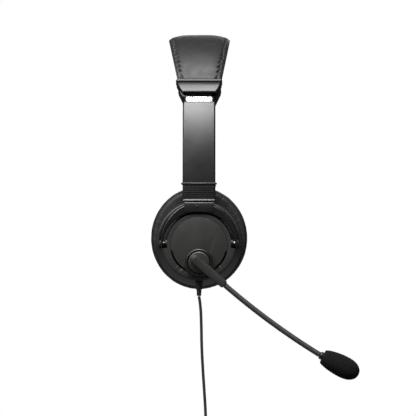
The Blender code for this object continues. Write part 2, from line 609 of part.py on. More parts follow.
def boom_tip(parent):
    end = BOOM_ARM_LENGTH + GOOSENECK_LENGTH
    middle = BOOM_ARM_LENGTH + GOOSENECK_LENGTH / 2
    tube = tube_along(middle + BEND_GAP / 2, end, 7.0, GOOSENECK_RADIUS)
    piece("gooseneck_tip", tube, "gooseneck_rubber", parent)

    def heading(angle):
        turn = math.radians(angle)
        return Vector((math.cos(turn), 0, math.sin(turn)))

    start = boom_along(end + GAP)
    profile = [(0, 0), (2.6, 0), (2.95, 0.5), (2.95, 5.2), (3.7, 5.2), (3.7, 14.0), (0, 14.0)]
    housing = turned_along(profile, start, heading(COLLAR_ANGLE), 16)
    piece("mic_housing", housing, "satin_plastic", parent)
    nose = start + heading(COLLAR_ANGLE) * 14.3
    capsule = turned_along([(0, 0), (3.0, 0), (3.0, 2.0), (0, 2.0)], nose, heading(COLLAR_ANGLE), 16)
    piece("mic_capsule", capsule, "screw_steel", parent)

    neck = start + heading(COLLAR_ANGLE) * 3.2
    outside = [(4.6, 0.0), (5.4, 0.4), (6.6, 4.0), (7.6, 9.0), (8.1, 14.0), (FOAM_RADIUS, 18.0), (7.8, 22.0),
               (6.4, 26.0), (3.8, 29.0), (0, FOAM_LENGTH)]
    inside = [(0, 14.6), (4.4, 14.6), (4.4, 0.0)]
    foam = turned_along(inside + outside, neck, heading(FOAM_ANGLE), 24)
    piece("mic_foam", foam, "windscreen_foam", parent)


# --- cable -------------------------------------------------------------------------------------------------

def smooth_route(points, spacing):
    """Points every so far along a smooth curve through the route's own points."""
    dense = []
    ends = [points[0], *points, points[-1]]
    for a, b, c, d in zip(ends, ends[1:], ends[2:], ends[3:]):
        for i in range(12):
            t = i / 12
            dense.append(
                0.5 * ((2 * b) + (c - a) * t + (2 * a - 5 * b + 4 * c - d) * t * t
                       + (3 * b - a - 3 * c + d) * t ** 3)
            )
    dense.append(points[-1])
    total = sum((b - a).length for a, b in zip(dense, dense[1:]))
    count = round(total / spacing)
    result, walked, target = [dense[0]], 0.0, total / count
    for a, b in zip(dense, dense[1:]):
        length = (b - a).length
        while walked + length >= target * len(result) and len(result) < count:
            result.append(a.lerp(b, (target * len(result) - walked) / length))
        walked += length
    return [*result, dense[-1]]


def cable(parent):
    route = smooth_route([Vector((x, -RELIEF_DEPTH, z)) for x, z in CORD_ROUTE], 5.0)
    curve = bpy.data.curves.new("cord_tube", "CURVE")
    curve.dimensions = "3D"
    spline = curve.splines.new("POLY")
    spline.points.add(len(route) - 1)
    for point, place in zip(spline.points, route):
        point.co = (*(place * MM - parent.location), 1.0)
    curve.bevel_depth = CORD_RADIUS * MM
    curve.bevel_resolution = 2
    curve.use_fill_caps = True
    curve.materials.append(materials["cable_rubber"])
    tube = bpy.data.objects.new("cord_tube", curve)
    bpy.context.collection.objects.link(tube)
    tube.parent = parent

    upper, lower = HANK_TOP_Z - HANK_RADIUS, HANK_TOP_Z - HANK_RADIUS - HANK_RUN
    outline = []
    for centre, start in ((upper, 0.0), (lower, 180.0)):
        for angle in spaced(start, start + 180.0, 18.0):
            turn = math.radians(angle)
            outline.append((HANK_X + HANK_RADIUS * math.cos(turn), centre + HANK_RADIUS * math.sin(turn)))
    near = HANK_DEPTH - HANK_THICKNESS / 2
    piece("cord_hank", prism(outline, near, near + HANK_THICKNESS), "cable_rubber", parent)

    middle = (upper + lower) / 2
    half_x, half_y = HANK_RADIUS + GAP, HANK_THICKNESS / 2 + GAP
    tie = box((HANK_X - half_x - 1, -HANK_DEPTH - half_y - 1, middle - 3),
              (HANK_X + half_x + 1, -HANK_DEPTH + half_y + 1, middle + 3))
    band = piece("hank_tie", tie, "cable_rubber", parent)
    cut(band, box((HANK_X - half_x, -HANK_DEPTH - half_y, middle - 5),
                  (HANK_X + half_x, -HANK_DEPTH + half_y, middle + 5)))

    top = lower - HANK_RADIUS - GAP
    boot = top - 5.0
    end = boot - 19.0

    def plug_ring(z, half, thick):
        return [(HANK_X - half, -HANK_DEPTH - thick, z), (HANK_X + half, -HANK_DEPTH - thick, z),
                (HANK_X + half, -HANK_DEPTH + thick, z), (HANK_X - half, -HANK_DEPTH + thick, z)]

    rows = [(top, 1.8, 1.8), (boot, 2.3, 2.3), (boot - 1.5, 6.6, 3.2), (boot - 4, 7.8, 3.9), (end + 0.6, 7.8, 3.9),
            (end, 7.4, 3.5)]
    piece("usb_plug_body", lofted([plug_ring(*row) for row in rows]), "satin_plastic", parent)
    shell = piece("usb_plug_shell", lofted([plug_ring(z, 6.0, 2.25) for z in (end - GAP, end - 12.0)]),
                  "polished_steel", parent)
    cut(shell, lofted([plug_ring(z, 5.6, 1.9) for z in (end - 2.0, end - 14.0)]))


# --- the headset -------------------------------------------------------------------------------------------

clear_scene()
materials = {name: make_material(name) for name in MATERIALS}

headband = body("headband", (0, 0, 0))
band_strip(headband)
pad_outer(headband)
pad_inner(headband)

cups = {}
for side_name, side_sign in SIDES.items():
    end_caps(side_name, side_sign, headband)
    slide_arm = body(f"arm_{side_name}", (0, -side_sign * SIDE_CENTRE_Y, SIDE_CENTRE_Z))
    arm(side_name, side_sign, slide_arm)
    yoke(side_name, side_sign, slide_arm)
    cups[side_name] = body(f"cup_{side_name}", (0, side_sign * PIN_DEPTH, PIN_Z))
    mic_shell = cup(side_name, side_sign, cups[side_name])
    if side_sign == RIGHT:
        boom_mount(*mic_shell, cups[side_name])

turning_boom = body("boom", (0, -BOOM_DEPTH, HUB_Z))
boom(turning_boom)
bending_tip = body("boom_tip", boom_along(BOOM_ARM_LENGTH + GOOSENECK_LENGTH / 2))
boom_tip(bending_tip)
cable(cups["right"])
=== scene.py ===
"""The looks of the office headset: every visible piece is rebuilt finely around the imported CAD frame.

Shapes are written in millimetres of the row frame and scaled to metres when a mesh is made. Depth is the
distance outwards from the headset's middle plane: the right (microphone) side is at -Y, the left side at +Y.
"""

import json
import math
import random

import bmesh
import bpy
from mathutils import Matrix, Vector, noise

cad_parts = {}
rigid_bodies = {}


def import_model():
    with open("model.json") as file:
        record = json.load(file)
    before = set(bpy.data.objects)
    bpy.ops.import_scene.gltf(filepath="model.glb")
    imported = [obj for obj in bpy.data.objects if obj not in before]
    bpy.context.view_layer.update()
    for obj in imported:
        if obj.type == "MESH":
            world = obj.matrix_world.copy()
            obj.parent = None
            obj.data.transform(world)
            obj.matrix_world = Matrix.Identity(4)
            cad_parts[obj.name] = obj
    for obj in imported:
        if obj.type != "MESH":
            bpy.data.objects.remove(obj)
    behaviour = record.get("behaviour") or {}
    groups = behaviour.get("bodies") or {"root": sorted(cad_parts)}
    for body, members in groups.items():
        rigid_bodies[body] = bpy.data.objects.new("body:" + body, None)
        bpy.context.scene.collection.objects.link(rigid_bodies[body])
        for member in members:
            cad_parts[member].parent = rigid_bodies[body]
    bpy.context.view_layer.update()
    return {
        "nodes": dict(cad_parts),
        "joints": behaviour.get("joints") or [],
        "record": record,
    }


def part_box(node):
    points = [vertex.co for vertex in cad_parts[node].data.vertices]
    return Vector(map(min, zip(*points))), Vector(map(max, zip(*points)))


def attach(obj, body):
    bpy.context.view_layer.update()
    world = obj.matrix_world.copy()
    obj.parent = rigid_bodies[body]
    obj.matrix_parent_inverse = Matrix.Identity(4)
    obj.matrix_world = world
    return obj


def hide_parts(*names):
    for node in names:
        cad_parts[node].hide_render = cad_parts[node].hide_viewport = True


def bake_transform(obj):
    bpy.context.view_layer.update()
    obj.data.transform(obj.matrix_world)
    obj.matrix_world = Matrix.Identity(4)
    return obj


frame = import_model()

MM = 0.001
RIGHT, LEFT = -1, 1
SIDES = {"right": RIGHT, "left": LEFT}
JOINTS = {joint["name"]: joint for joint in frame["joints"]}


def joint_mm(name):
    return Vector(JOINTS[name]["pos_m"]) / MM


def low_mm(node):
    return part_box(node)[0] / MM


def high_mm(node):
    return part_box(node)[1] / MM


# Headband curve, from the frame: a small arc over the crown and a large one, round the arms' axis, at
# each side.
CROWN_RADIUS = 62.0
BREAK_ANGLE = 58.0
STRIP_TOP = high_mm("band_spring").z
STRIP_THICKNESS = 0.8
STRIP_WIDTH = 2 * high_mm("band_spring").x
SIDE_CENTRE_Y, SIDE_CENTRE_Z = joint_mm("right_arm_slide").y, joint_mm("right_arm_slide").z
SIDE_RADIUS = CROWN_RADIUS + SIDE_CENTRE_Y / math.sin(math.radians(BREAK_ANGLE))
CROWN_CENTRE_Z = STRIP_TOP - CROWN_RADIUS

PAD_WIDTH_CROWN, PAD_WIDTH_END = 2 * high_mm("head_pad_outer").x, 31.0
PAD_EDGE, PAD_CROWN, PAD_UNDER = 2.8, high_mm("head_pad_outer").z - STRIP_TOP, 6.3
PAD_END_ANGLE = 60.15
DENT_DEPTH = 1.5
CAP_TOP_Z, CAP_BOTTOM_Z = -28.0, -35.8
LINER_BOTTOM_Z = -41.3
SLEEVE_TOP_Z, SLEEVE_BOTTOM_Z = -42.3, -117.3
SLEEVE_HALF, SLEEVE_OUT, POCKET_HALF = 12.35, 2.6, 10.1
RIDGE_Z, RIDGE_BUMP = -104.35, 1.1
RIB_TOP_Z, RIB_PITCH, RIB_COUNT, RIB_DEPTH = -106.0, 1.65, 6, 0.45
BAR_TOP_Z = -115.85
SCREW_ANGLE_CAP, SCREW_ANGLE_SLEEVE = 61.9, 88.0

CUP_CENTRE_Z = (low_mm("right_cup_shell").z + high_mm("right_cup_shell").z) / 2
CUSHION_CENTRE_Z = (low_mm("right_ear_cushion").z + high_mm("right_ear_cushion").z) / 2
CUSHION_HALF_X, CUSHION_HALF_Z = high_mm("right_ear_cushion").x, high_mm("right_ear_cushion").z - CUSHION_CENTRE_Z
RIM_RADIUS, RIM_BACK, RIM_FRONT = high_mm("right_cup_shell").x, 63.3, 66.0
FACE_RADIUS, FACE_DEPTH = 27.2, -low_mm("right_cup_shell").y
PLATE_CENTRE_Z = (low_mm("right_face_plate").z + high_mm("right_face_plate").z) / 2
PLATE_RADIUS = high_mm("right_face_plate").x
PIN_DEPTH, PIN_Z, PIN_RADIUS = -joint_mm("right_cup_tilt").y, joint_mm("right_cup_tilt").z, 1.2
PIN_CLEARANCE = 0.3
SHELF_DEPTH, WALL = 70.0, 1.8
YOKE_OUTER_TOP, YOKE_INNER_TOP, YOKE_OUTER_TIP, YOKE_INNER_TIP = 30.8, 23.3, 28.6, 27.4
YOKE_BACK, YOKE_FRONT = 77.0, 84.6

BOOM_DEPTH, HUB_Z = -joint_mm("boom_turn").y, joint_mm("boom_turn").z
HUB_RADIUS, TURRET_RADIUS = high_mm("boom_hub").x, high_mm("boom_turret").x
BOOM_ANGLE, BOOM_ARM_LENGTH, BOOM_ARM_TAIL = -41.0, 25.3, 7.1
GOOSENECK_LENGTH, GOOSENECK_TURN, GOOSENECK_RADIUS = 87.8, 9.4, 2.0
COLLAR_ANGLE, FOAM_ANGLE, FOAM_LENGTH, FOAM_RADIUS = -29.0, -27.0, 30.0, 8.2

# The cable's own route, the same points as in the CAD, and its hank: (x, z) at the strain relief's depth.
RELIEF_DEPTH, RELIEF_TOP_Z, RELIEF_END_Z = 78.5, -174.6, low_mm("strain_relief").z
CORD_RADIUS = 1.1
CORD_ROUTE = [
    (0.0, -188.9), (0.5, -192.0), (1.0, -196.0), (1.4, -201.0), (1.6, -207.0), (1.8, -214.0), (1.9, -221.0),
    (2.1, -228.0), (2.4, -235.0), (2.8, -242.0), (3.2, -249.0), (3.7, -256.0), (4.2, -264.0), (4.7, -272.0),
    (5.0, -280.0), (5.0, -288.4),
]
HANK_X, HANK_DEPTH = -6.0, 74.1
HANK_RUN, HANK_RADIUS, HANK_HALF_DEPTH = 40.0, 12.1, 5.5
TIE_GAP, TIE_THICKNESS, TIE_HALF_HEIGHT = 0.35, 0.9, 3.0
HANK_UPPER_Z = -284.0 - HANK_RADIUS


# --- materials ---

class Surface:
    """A Principled material whose nodes are added one by one."""

    def __init__(self, name, colour, roughness, metallic=0.0, **sockets):
        self.material = bpy.data.materials.new(name)
        self.material.use_nodes = True
        self.tree = self.material.node_tree
        self.shader = self.tree.nodes["Principled BSDF"]
        self.colour, self.roughness = colour, roughness
        self.shader.inputs["Base Color"].default_value = (*colour, 1.0)
        self.shader.inputs["Roughness"].default_value = roughness
        self.shader.inputs["Metallic"].default_value = metallic
        for socket, value in sockets.items():
            self.shader.inputs[socket.replace("_", " ")].default_value = value
        self.place = self.tree.nodes.new("ShaderNodeTexCoord").outputs["Object"]
        self.bump = None

    def node(self, kind, **values):
        made = self.tree.nodes.new(kind)
        for key, value in values.items():
            if key in made.inputs:
                made.inputs[key].default_value = value
            else:
                setattr(made, key, value)
        return made

    def noise(self, scale, detail=3.0, roughness=0.55, stretch=None):
        source = self.place
        if stretch:
            mapping = self.node("ShaderNodeMapping")
            mapping.inputs["Scale"].default_value = stretch
            self.tree.links.new(self.place, mapping.inputs["Vector"])
            source = mapping.outputs["Vector"]
        made = self.node("ShaderNodeTexNoise", Scale=scale, Detail=detail, Roughness=roughness)
        self.tree.links.new(source, made.inputs["Vector"])
        return made.outputs["Fac"]

    def cells(self, scale, feature="DISTANCE_TO_EDGE"):
        made = self.node("ShaderNodeTexVoronoi", Scale=scale)
        made.feature = feature
        self.tree.links.new(self.place, made.inputs["Vector"])
        return made.outputs["Distance"]

    def ranged(self, value, low, high, from_low=0.3, from_high=0.7):
        made = self.node("ShaderNodeMapRange")
        for key, number in (("From Min", from_low), ("From Max", from_high), ("To Min", low),
                            ("To Max", high)):
            made.inputs[key].default_value = number
        self.tree.links.new(value, made.inputs["Value"])
        return made.outputs["Result"]

    def vary_roughness(self, value, spread):
        result = self.ranged(value, self.roughness - spread, self.roughness + spread)
        self.tree.links.new(result, self.shader.inputs["Roughness"])
        return self

    def vary_colour(self, value, other, low=0.35, high=0.65):
        ramp = self.node("ShaderNodeValToRGB")
        ramp.color_ramp.elements[0].position, ramp.color_ramp.elements[1].position = low, high
        ramp.color_ramp.elements[0].color = (*other, 1.0)
        ramp.color_ramp.elements[1].color = (*self.colour, 1.0)
        self.tree.links.new(value, ramp.inputs["Fac"])
        self.tree.links.new(ramp.outputs["Color"], self.shader.inputs["Base Color"])
        return self

    def add_bump(self, height, distance, strength=1.0):
        made = self.node("ShaderNodeBump", Strength=strength, Distance=distance)
        self.tree.links.new(height, made.inputs["Height"])
        if self.bump:
            self.tree.links.new(self.bump, made.inputs["Normal"])
        self.bump = made.outputs["Normal"]
        self.tree.links.new(self.bump, self.shader.inputs["Normal"])
        return self


def satin_plastic():
    surface = Surface("satin_plastic_fine", (0.0055, 0.0056, 0.006), 0.36, Specular_IOR_Level=0.5)
    surface.vary_roughness(surface.noise(90, 3), 0.03)
    surface.vary_colour(surface.noise(140, 2), (0.0045, 0.0046, 0.005))
    return surface.add_bump(surface.noise(5200, 2), 0.00003, 0.35).material


def face_plastic():
    surface = Surface("face_plastic_fine", (0.0165, 0.016, 0.0152), 0.46)
    surface.vary_roughness(surface.noise(70, 3), 0.03)
    surface.vary_colour(surface.noise(110, 2), (0.0145, 0.014, 0.0133))
    return surface.add_bump(surface.noise(4200, 2), 0.00004, 0.45).material


def inner_plastic():
    surface = Surface("inner_plastic_fine", (0.014, 0.014, 0.014), 0.6)
    surface.vary_roughness(surface.noise(80, 2), 0.05)
    return surface.add_bump(surface.noise(3000, 2), 0.00004, 0.4).material


def leatherette():
    surface = Surface("leatherette_fine", (0.017, 0.017, 0.0178), 0.52, Specular_IOR_Level=0.34)
    surface.vary_roughness(surface.noise(160, 3), 0.05)
    surface.vary_colour(surface.cells(1500), (0.010, 0.010, 0.011), 0.02, 0.14)
    surface.add_bump(surface.cells(1300), 0.00012, 0.35)
    return surface.add_bump(surface.noise(420, 4), 0.00010, 0.25).material


def polished_steel():
    surface = Surface("polished_steel_fine", (0.74, 0.74, 0.75), 0.27, 1.0)
    surface.vary_roughness(surface.noise(30, 3, stretch=(40, 1, 1)), 0.04)
    return surface.add_bump(surface.noise(200, 3, stretch=(12, 1, 1)), 0.00001, 0.2).material


def screw_steel():
    surface = Surface("screw_steel_fine", (0.34, 0.34, 0.35), 0.34, 1.0)
    surface.vary_roughness(surface.noise(700, 2), 0.06)
    return surface.add_bump(surface.noise(2500, 2), 0.00002, 0.3).material


def gooseneck_rubber():
    surface = Surface("gooseneck_rubber_fine", (0.028, 0.028, 0.029), 0.42)
    surface.vary_roughness(surface.noise(300, 2), 0.05)
    return surface.add_bump(surface.noise(4000, 2), 0.00003, 0.3).material


def windscreen_foam():
    surface = Surface("windscreen_foam_fine", (0.0065, 0.0065, 0.0065), 0.95, Specular_IOR_Level=0.2)
    surface.vary_colour(surface.cells(1900), (0.0018, 0.0018, 0.0018), 0.04, 0.3)
    return surface.add_bump(surface.cells(1900), 0.0004, 0.8).material


def cable_rubber():
    surface = Surface("cable_rubber_fine", (0.019, 0.018, 0.018), 0.46)
    surface.vary_roughness(surface.noise(500, 2), 0.05)
    return surface.add_bump(surface.noise(3500, 2), 0.00003, 0.3).material


def speaker_cloth():
    surface = Surface("speaker_cloth_fine", (0.010, 0.010, 0.010), 0.92, Sheen_Weight=0.15)
    surface.vary_colour(surface.cells(1600), (0.003, 0.003, 0.003), 0.05, 0.3)
    return surface.add_bump(surface.cells(1600), 0.0002, 0.8).material


def cone_film():
    surface = Surface("cone_film_fine", (0.05, 0.045, 0.04), 0.4)
    return surface.vary_roughness(surface.noise(200, 2), 0.08).material


def circuit_green():
    surface = Surface("circuit_green_fine", (0.012, 0.09, 0.035), 0.42)
    surface.vary_colour(surface.cells(350, "F1"), (0.006, 0.05, 0.02), 0.1, 0.5)
    return surface.material


LOOKS = {
    "satin_plastic": satin_plastic(), "face_plastic": face_plastic(), "inner_plastic": inner_plastic(),
    "leatherette": leatherette(), "polished_steel": polished_steel(), "screw_steel": screw_steel(),
    "gooseneck_rubber": gooseneck_rubber(), "windscreen_foam": windscreen_foam(),
    "cable_rubber": cable_rubber(),
    "speaker_cloth": speaker_cloth(), "cone_film": cone_film(), "circuit_green": circuit_green(),
}


# --- making pieces ---

def own(made, body, look, replaced=()):
    """Gives a piece its material, body and slot, and hides the CAD nodes that it stands for."""
    made.data.materials.append(LOOKS[look])
    if body:
        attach(made, body)
    if replaced:
        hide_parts(*replaced)
    return made


def solid(name, shape, body, look, replaced=(), bevel=0.0, sharp=35.0, cuts=(), joins=()):
    """A smooth-shaded mesh from a bmesh in millimetres, with Booleans and then rounded edges."""
    made = plain_object(name, shape)
    for i, (helper_shape, operation) in enumerate(
        [(s, "UNION") for s in joins] + [(s, "DIFFERENCE") for s in cuts]
    ):
        helper = plain_object(f"{name}_tool_{i}", helper_shape)
        modifier = made.modifiers.new(f"tool_{i}", "BOOLEAN")
        modifier.operation, modifier.solver, modifier.object = operation, "EXACT", helper
    if cuts or joins:
        apply_modifiers(made)
        for helper in [o for o in bpy.data.objects if o.name.startswith(f"{name}_tool_")]:
            bpy.data.objects.remove(helper, do_unlink=True)
    if bevel:
        rounding = made.modifiers.new("rounding", "BEVEL")
        rounding.width, rounding.segments, rounding.limit_method = bevel * MM, 3, "ANGLE"
        rounding.angle_limit, rounding.harden_normals = math.radians(sharp), False
        rounding.use_clamp_overlap = True
        apply_modifiers(made)
    made.data.shade_smooth()
    made.data.set_sharp_from_angle(angle=math.radians(50 if bevel else sharp))
    return own(made, body, look, replaced)


def plain_object(name, shape):
    bmesh.ops.remove_doubles(shape, verts=shape.verts, dist=1e-4)
    bmesh.ops.recalc_face_normals(shape, faces=shape.faces)
    shape.transform(Matrix.Scale(MM, 4))
    mesh = bpy.data.meshes.new(name)
    shape.to_mesh(mesh)
    shape.free()
    made = bpy.data.objects.new(name, mesh)
    bpy.context.scene.collection.objects.link(made)
    return made


def apply_modifiers(made):
    bpy.context.view_layer.update()
    evaluated = made.evaluated_get(bpy.context.evaluated_depsgraph_get())
    mesh = bpy.data.meshes.new_from_object(evaluated)
    made.modifiers.clear()
    made.data = mesh


def turned(profile, centre, side=RIGHT, segments=96, loop=True, stretch=(1.0, 1.0), start=0.0, angle=360.0):
    """A solid turned about an axis along Y, from (radius, depth) points, centred on (x, z)."""
    shape = bmesh.new()
    corners = [shape.verts.new((radius, side * depth, 0.0)) for radius, depth in profile]
    lines = [shape.edges.new(pair) for pair in zip(corners, corners[1:])]
    if loop:
        lines.append(shape.edges.new((corners[-1], corners[0])))
    geometry = corners + lines
    if angle < 360.0:
        geometry.append(shape.faces.new(corners))
        bmesh.ops.rotate(shape, verts=corners, cent=(0, 0, 0),
                         matrix=Matrix.Rotation(math.radians(-start), 3, "Y"))
    bmesh.ops.spin(
        shape, geom=geometry, cent=(0, 0, 0), axis=(0, -1, 0), angle=math.radians(angle), steps=segments,
    )
    bmesh.ops.remove_doubles(shape, verts=shape.verts, dist=1e-4)
    shape.transform(Matrix.Diagonal((stretch[0], 1.0, stretch[1], 1.0)))
    shape.transform(Matrix.Translation((centre[0], 0.0, centre[1])))
    return shape


def turned_along(profile, start, direction, segments=48):
    """A solid turned about a free axis, from (radius, distance along) points."""
    shape = bmesh.new()
    corners = [shape.verts.new((radius, 0.0, along)) for radius, along in profile]
    lines = [shape.edges.new(pair) for pair in zip(corners, corners[1:])]
    if profile[0][0] > 0:
        lines.append(shape.edges.new((corners[-1], corners[0])))
    bmesh.ops.spin(
        shape, geom=corners + lines, cent=(0, 0, 0), axis=(0, 0, 1), angle=2 * math.pi, steps=segments,
    )
    bmesh.ops.remove_doubles(shape, verts=shape.verts, dist=1e-4)
    turn = Vector(direction).to_track_quat("Z", "Y").to_matrix().to_4x4()
    shape.transform(Matrix.Translation(start) @ turn)
    return shape


def lofted(sections, closed=False):
    """A skin through sections of equal point counts, with flat ends unless it closes on itself."""
    shape = bmesh.new()
    rings = [[shape.verts.new(point) for point in section] for section in sections]
    pairs = list(zip(rings, rings[1:])) + ([(rings[-1], rings[0])] if closed else [])
    for ring, following in pairs:
        for i in range(len(ring)):
            shape.faces.new((ring[i - 1], ring[i], following[i], following[i - 1]))
    if not closed:
        shape.faces.new(rings[0])
        shape.faces.new(list(reversed(rings[-1])))
    return shape


def prism(outline, near, far, side=RIGHT):
    return lofted([[(x, side * depth, z) for x, z in outline] for depth in (near, far)])


def box_shape(low, high):
    (x0, y0, z0), (x1, y1, z1) = low, high
    return lofted([[(x0, y0, z), (x1, y0, z), (x1, y1, z), (x0, y1, z)] for z in (z0, z1)])


def rod(start, end, radius, segments=40):
    along = Vector(end) - Vector(start)
    return turned_along([(0, 0), (radius, 0), (radius, along.length), (0, along.length)], Vector(start),
                        along, segments)


def spaced(first, last, step):
    count = max(1, round((last - first) / step))
    return [first + (last - first) * i / count for i in range(count + 1)]


def curve_point(a, b, c, d, t):
    """The point a share t of the way from b to c, on a smooth curve through all four."""
    return 0.5 * ((2 * b) + (c - a) * t + (2 * a - 5 * b + 4 * c - d) * t * t
                  + (3 * b - a - 3 * c + d) * t ** 3)


def full_turn(count):
    return [2 * math.pi * i / count for i in range(count)]


def quarter_turn(steps):
    return [math.pi / 2 * i / steps for i in range(steps + 1)]


def rounded_box(half, low, high, radius, steps=4):
    """Corner points of a rectangle from -half to half and low to high, with its corners rounded."""
    points = []
    for x, y, start in ((half, high, 0), (-half, high, 90), (-half, low, 180), (half, low, 270)):
        cx, cy = x - math.copysign(radius, x), y - (radius if y == high else -radius)
        for i in range(steps + 1):
            turn = math.radians(start + 90 * i / steps)
            points.append((cx + radius * math.cos(turn), cy + radius * math.sin(turn)))
    return points


# --- headband ---

def band_angle(z):
    return math.degrees(math.acos((z - SIDE_CENTRE_Z) / SIDE_RADIUS))


def band_point(angle, side, across, out):
    """The point at an angle from the crown, a distance across the band and outwards from the strip's face."""
    turn = math.radians(angle)
    if angle <= BREAK_ANGLE:
        centre_y, centre_z, radius = 0.0, CROWN_CENTRE_Z, CROWN_RADIUS + out
    else:
        centre_y, centre_z, radius = -SIDE_CENTRE_Y, SIDE_CENTRE_Z, SIDE_RADIUS + out
    return Vector((across, side * (centre_y + radius * math.sin(turn)), centre_z + radius * math.cos(turn)))


def signed_point(angle, across, out):
    return band_point(abs(angle), LEFT if angle > 0 else RIGHT, across, out)


def along_band(stations, side, section):
    return lofted([[band_point(a, side, x, out) for x, out in section(a)] for a in stations])


def band_rod(angle, side, low, high, radius):
    """A rod square to the band, between two distances from the strip's face."""
    return rod(band_point(angle, side, 0, low), band_point(angle, side, 0, high), radius)


def pad_half_width(angle):
    drop = STRIP_TOP - band_point(abs(angle), LEFT, 0, 0).z
    share = min(1.0, drop / (STRIP_TOP - CAP_TOP_Z))
    return (PAD_WIDTH_CROWN + (PAD_WIDTH_END - PAD_WIDTH_CROWN) * share) / 2


def seam_dents(last, rng):
    """Places of the short slanted dents beside each edge seam, where the cover is gathered.

    Each is a distance along the band, a distance inward from the edge and a size.
    """
    dents = {}
    for edge in (-1, 1):
        places = []
        for way in (-1, 1):
            along = rng.uniform(1.0, 2.0)
            while along < math.radians(last) * CROWN_RADIUS:
                places.append((way * along, rng.uniform(2.3, 2.9), rng.uniform(0.8, 1.2)))
                along += rng.uniform(3.5, 4.6)
        dents[edge] = places
    return dents


def dent_depth(dents, angle, across, half):
    """How far the cover sinks at a point, from the nearest dents, and how it swells a little between them."""
    edge = -1 if across < 0 else 1
    inward = half - abs(across)
    if inward > 7.0:
        return 0.0
    along = math.radians(angle) * CROWN_RADIUS
    depth = 0.0
    for place, centre, size in dents[edge]:
        if abs(along - place) > 4.0:
            continue
        down = (along - place) * math.copysign(1.0, place)
        step = inward - centre
        long, short = (down + step) * 0.707, (down - step) * 0.707
        depth += size * math.exp(-((long / 1.2) ** 2 + (short / 0.8) ** 2))
    return DENT_DEPTH * depth - 0.16 * math.exp(-((inward - 2.8) / 1.2) ** 2)


def head_pad():
    """The leatherette cover: a crowned outer half and a softer inner half, joined along both edges."""
    across_top, across_under = 96, 28
    dents = seam_dents(PAD_END_ANGLE, random.Random(4))
    last, cap_top = PAD_END_ANGLE, band_angle(CAP_TOP_Z)
    stations = spaced(-last, last, 0.42)
    sections = []
    for angle in stations:
        half = pad_half_width(angle)
        share = abs(angle) / BREAK_ANGLE
        lift = (PAD_CROWN - PAD_EDGE) * (1.0 - 0.55 * share ** 4)
        section = []
        for i in range(across_top + 1):
            t = -1.0 + 2.0 * i / across_top
            u = 0.35 * t + 0.65 * math.sin(0.5 * math.pi * t)
            shoulder = 0.5 * (1 - min(1.0, (1 - abs(u)) / 0.05)) ** 2
            soft = 0.16 * noise.noise(Vector((half * u * 0.07, angle * 0.11, 0.0)))
            out = PAD_EDGE + lift * (1 - abs(u) ** 3.8) - shoulder + soft * (1 - abs(u))
            out -= dent_depth(dents, angle, half * u, half)
            out -= 0.8 * math.exp(-(((abs(angle) - cap_top) / 0.45) ** 2))
            section.append(signed_point(angle, half * u, out))
        for i in range(1, across_under):
            u = 1.0 - 2.0 * i / across_under
            edge = min(1.0, (1 - abs(u)) / 0.16)
            out = -1.0 - (PAD_UNDER + 0.1) * math.sin(0.5 * math.pi * edge) ** 0.7 * (1 - 0.1 * abs(u) ** 4)
            out = max(out, -STRIP_TOP) + 0.5 * dent_depth(dents, angle, half * u, half)
            section.append(signed_point(angle, half * u * 0.995, out))
        sections.append(section)
    cover = solid("head_pad_cover", lofted(sections), "headband", "leatherette",
                  ("head_pad_outer", "head_pad_inner"))
    for name, way in (("front", 1), ("rear", -1)):
        rings = []
        for angle in spaced(-last, last, 0.7):
            half = pad_half_width(angle) - 0.25
            rings.append([
                signed_point(angle, way * half + 0.8 * math.cos(t), 1.75 + 0.8 * math.sin(t))
                for t in full_turn(12)
            ])
        solid(f"head_pad_piping_{name}", lofted(rings), "headband", "leatherette")


def steel_strip():
    flat = rounded_box(STRIP_WIDTH / 2, -STRIP_THICKNESS, 0.0, 0.3, 3)
    angles = spaced(-85.0, 85.0, 1.0)
    holes = []
    for side in (RIGHT, LEFT):
        holes.append(band_rod(SCREW_ANGLE_CAP, side, -3, 3, 1.7))
    solid("steel_strip", lofted([[signed_point(a, x, out) for x, out in flat] for a in angles]), "headband",
          "polished_steel", ("band_spring",), cuts=holes)


def cap_rows():
    top, bottom = band_angle(CAP_TOP_Z), band_angle(CAP_BOTTOM_Z)
    return [
        (top, 17.1, 6.4), (top + 0.1, 17.5, 6.85), (top + 0.25, 17.6, 6.9), (top + 0.42, 17.6, 6.88),
        (top + 0.5, 17.4, 6.7), (top + 0.56, 17.15, 6.3), (top + 0.64, 16.95, 6.0), (top + 0.8, 16.8, 5.78),
        (top + 1.1, 16.35, 5.5), (top + 1.5, 15.75, 5.25), (top + 2.0, 15.0, 5.08),
        (bottom - 0.4, 13.8, 4.96),
        (bottom - 0.12, 13.4, 4.92), (bottom - 0.04, 13.3, 4.84), (bottom, 13.2, 4.7),
    ]


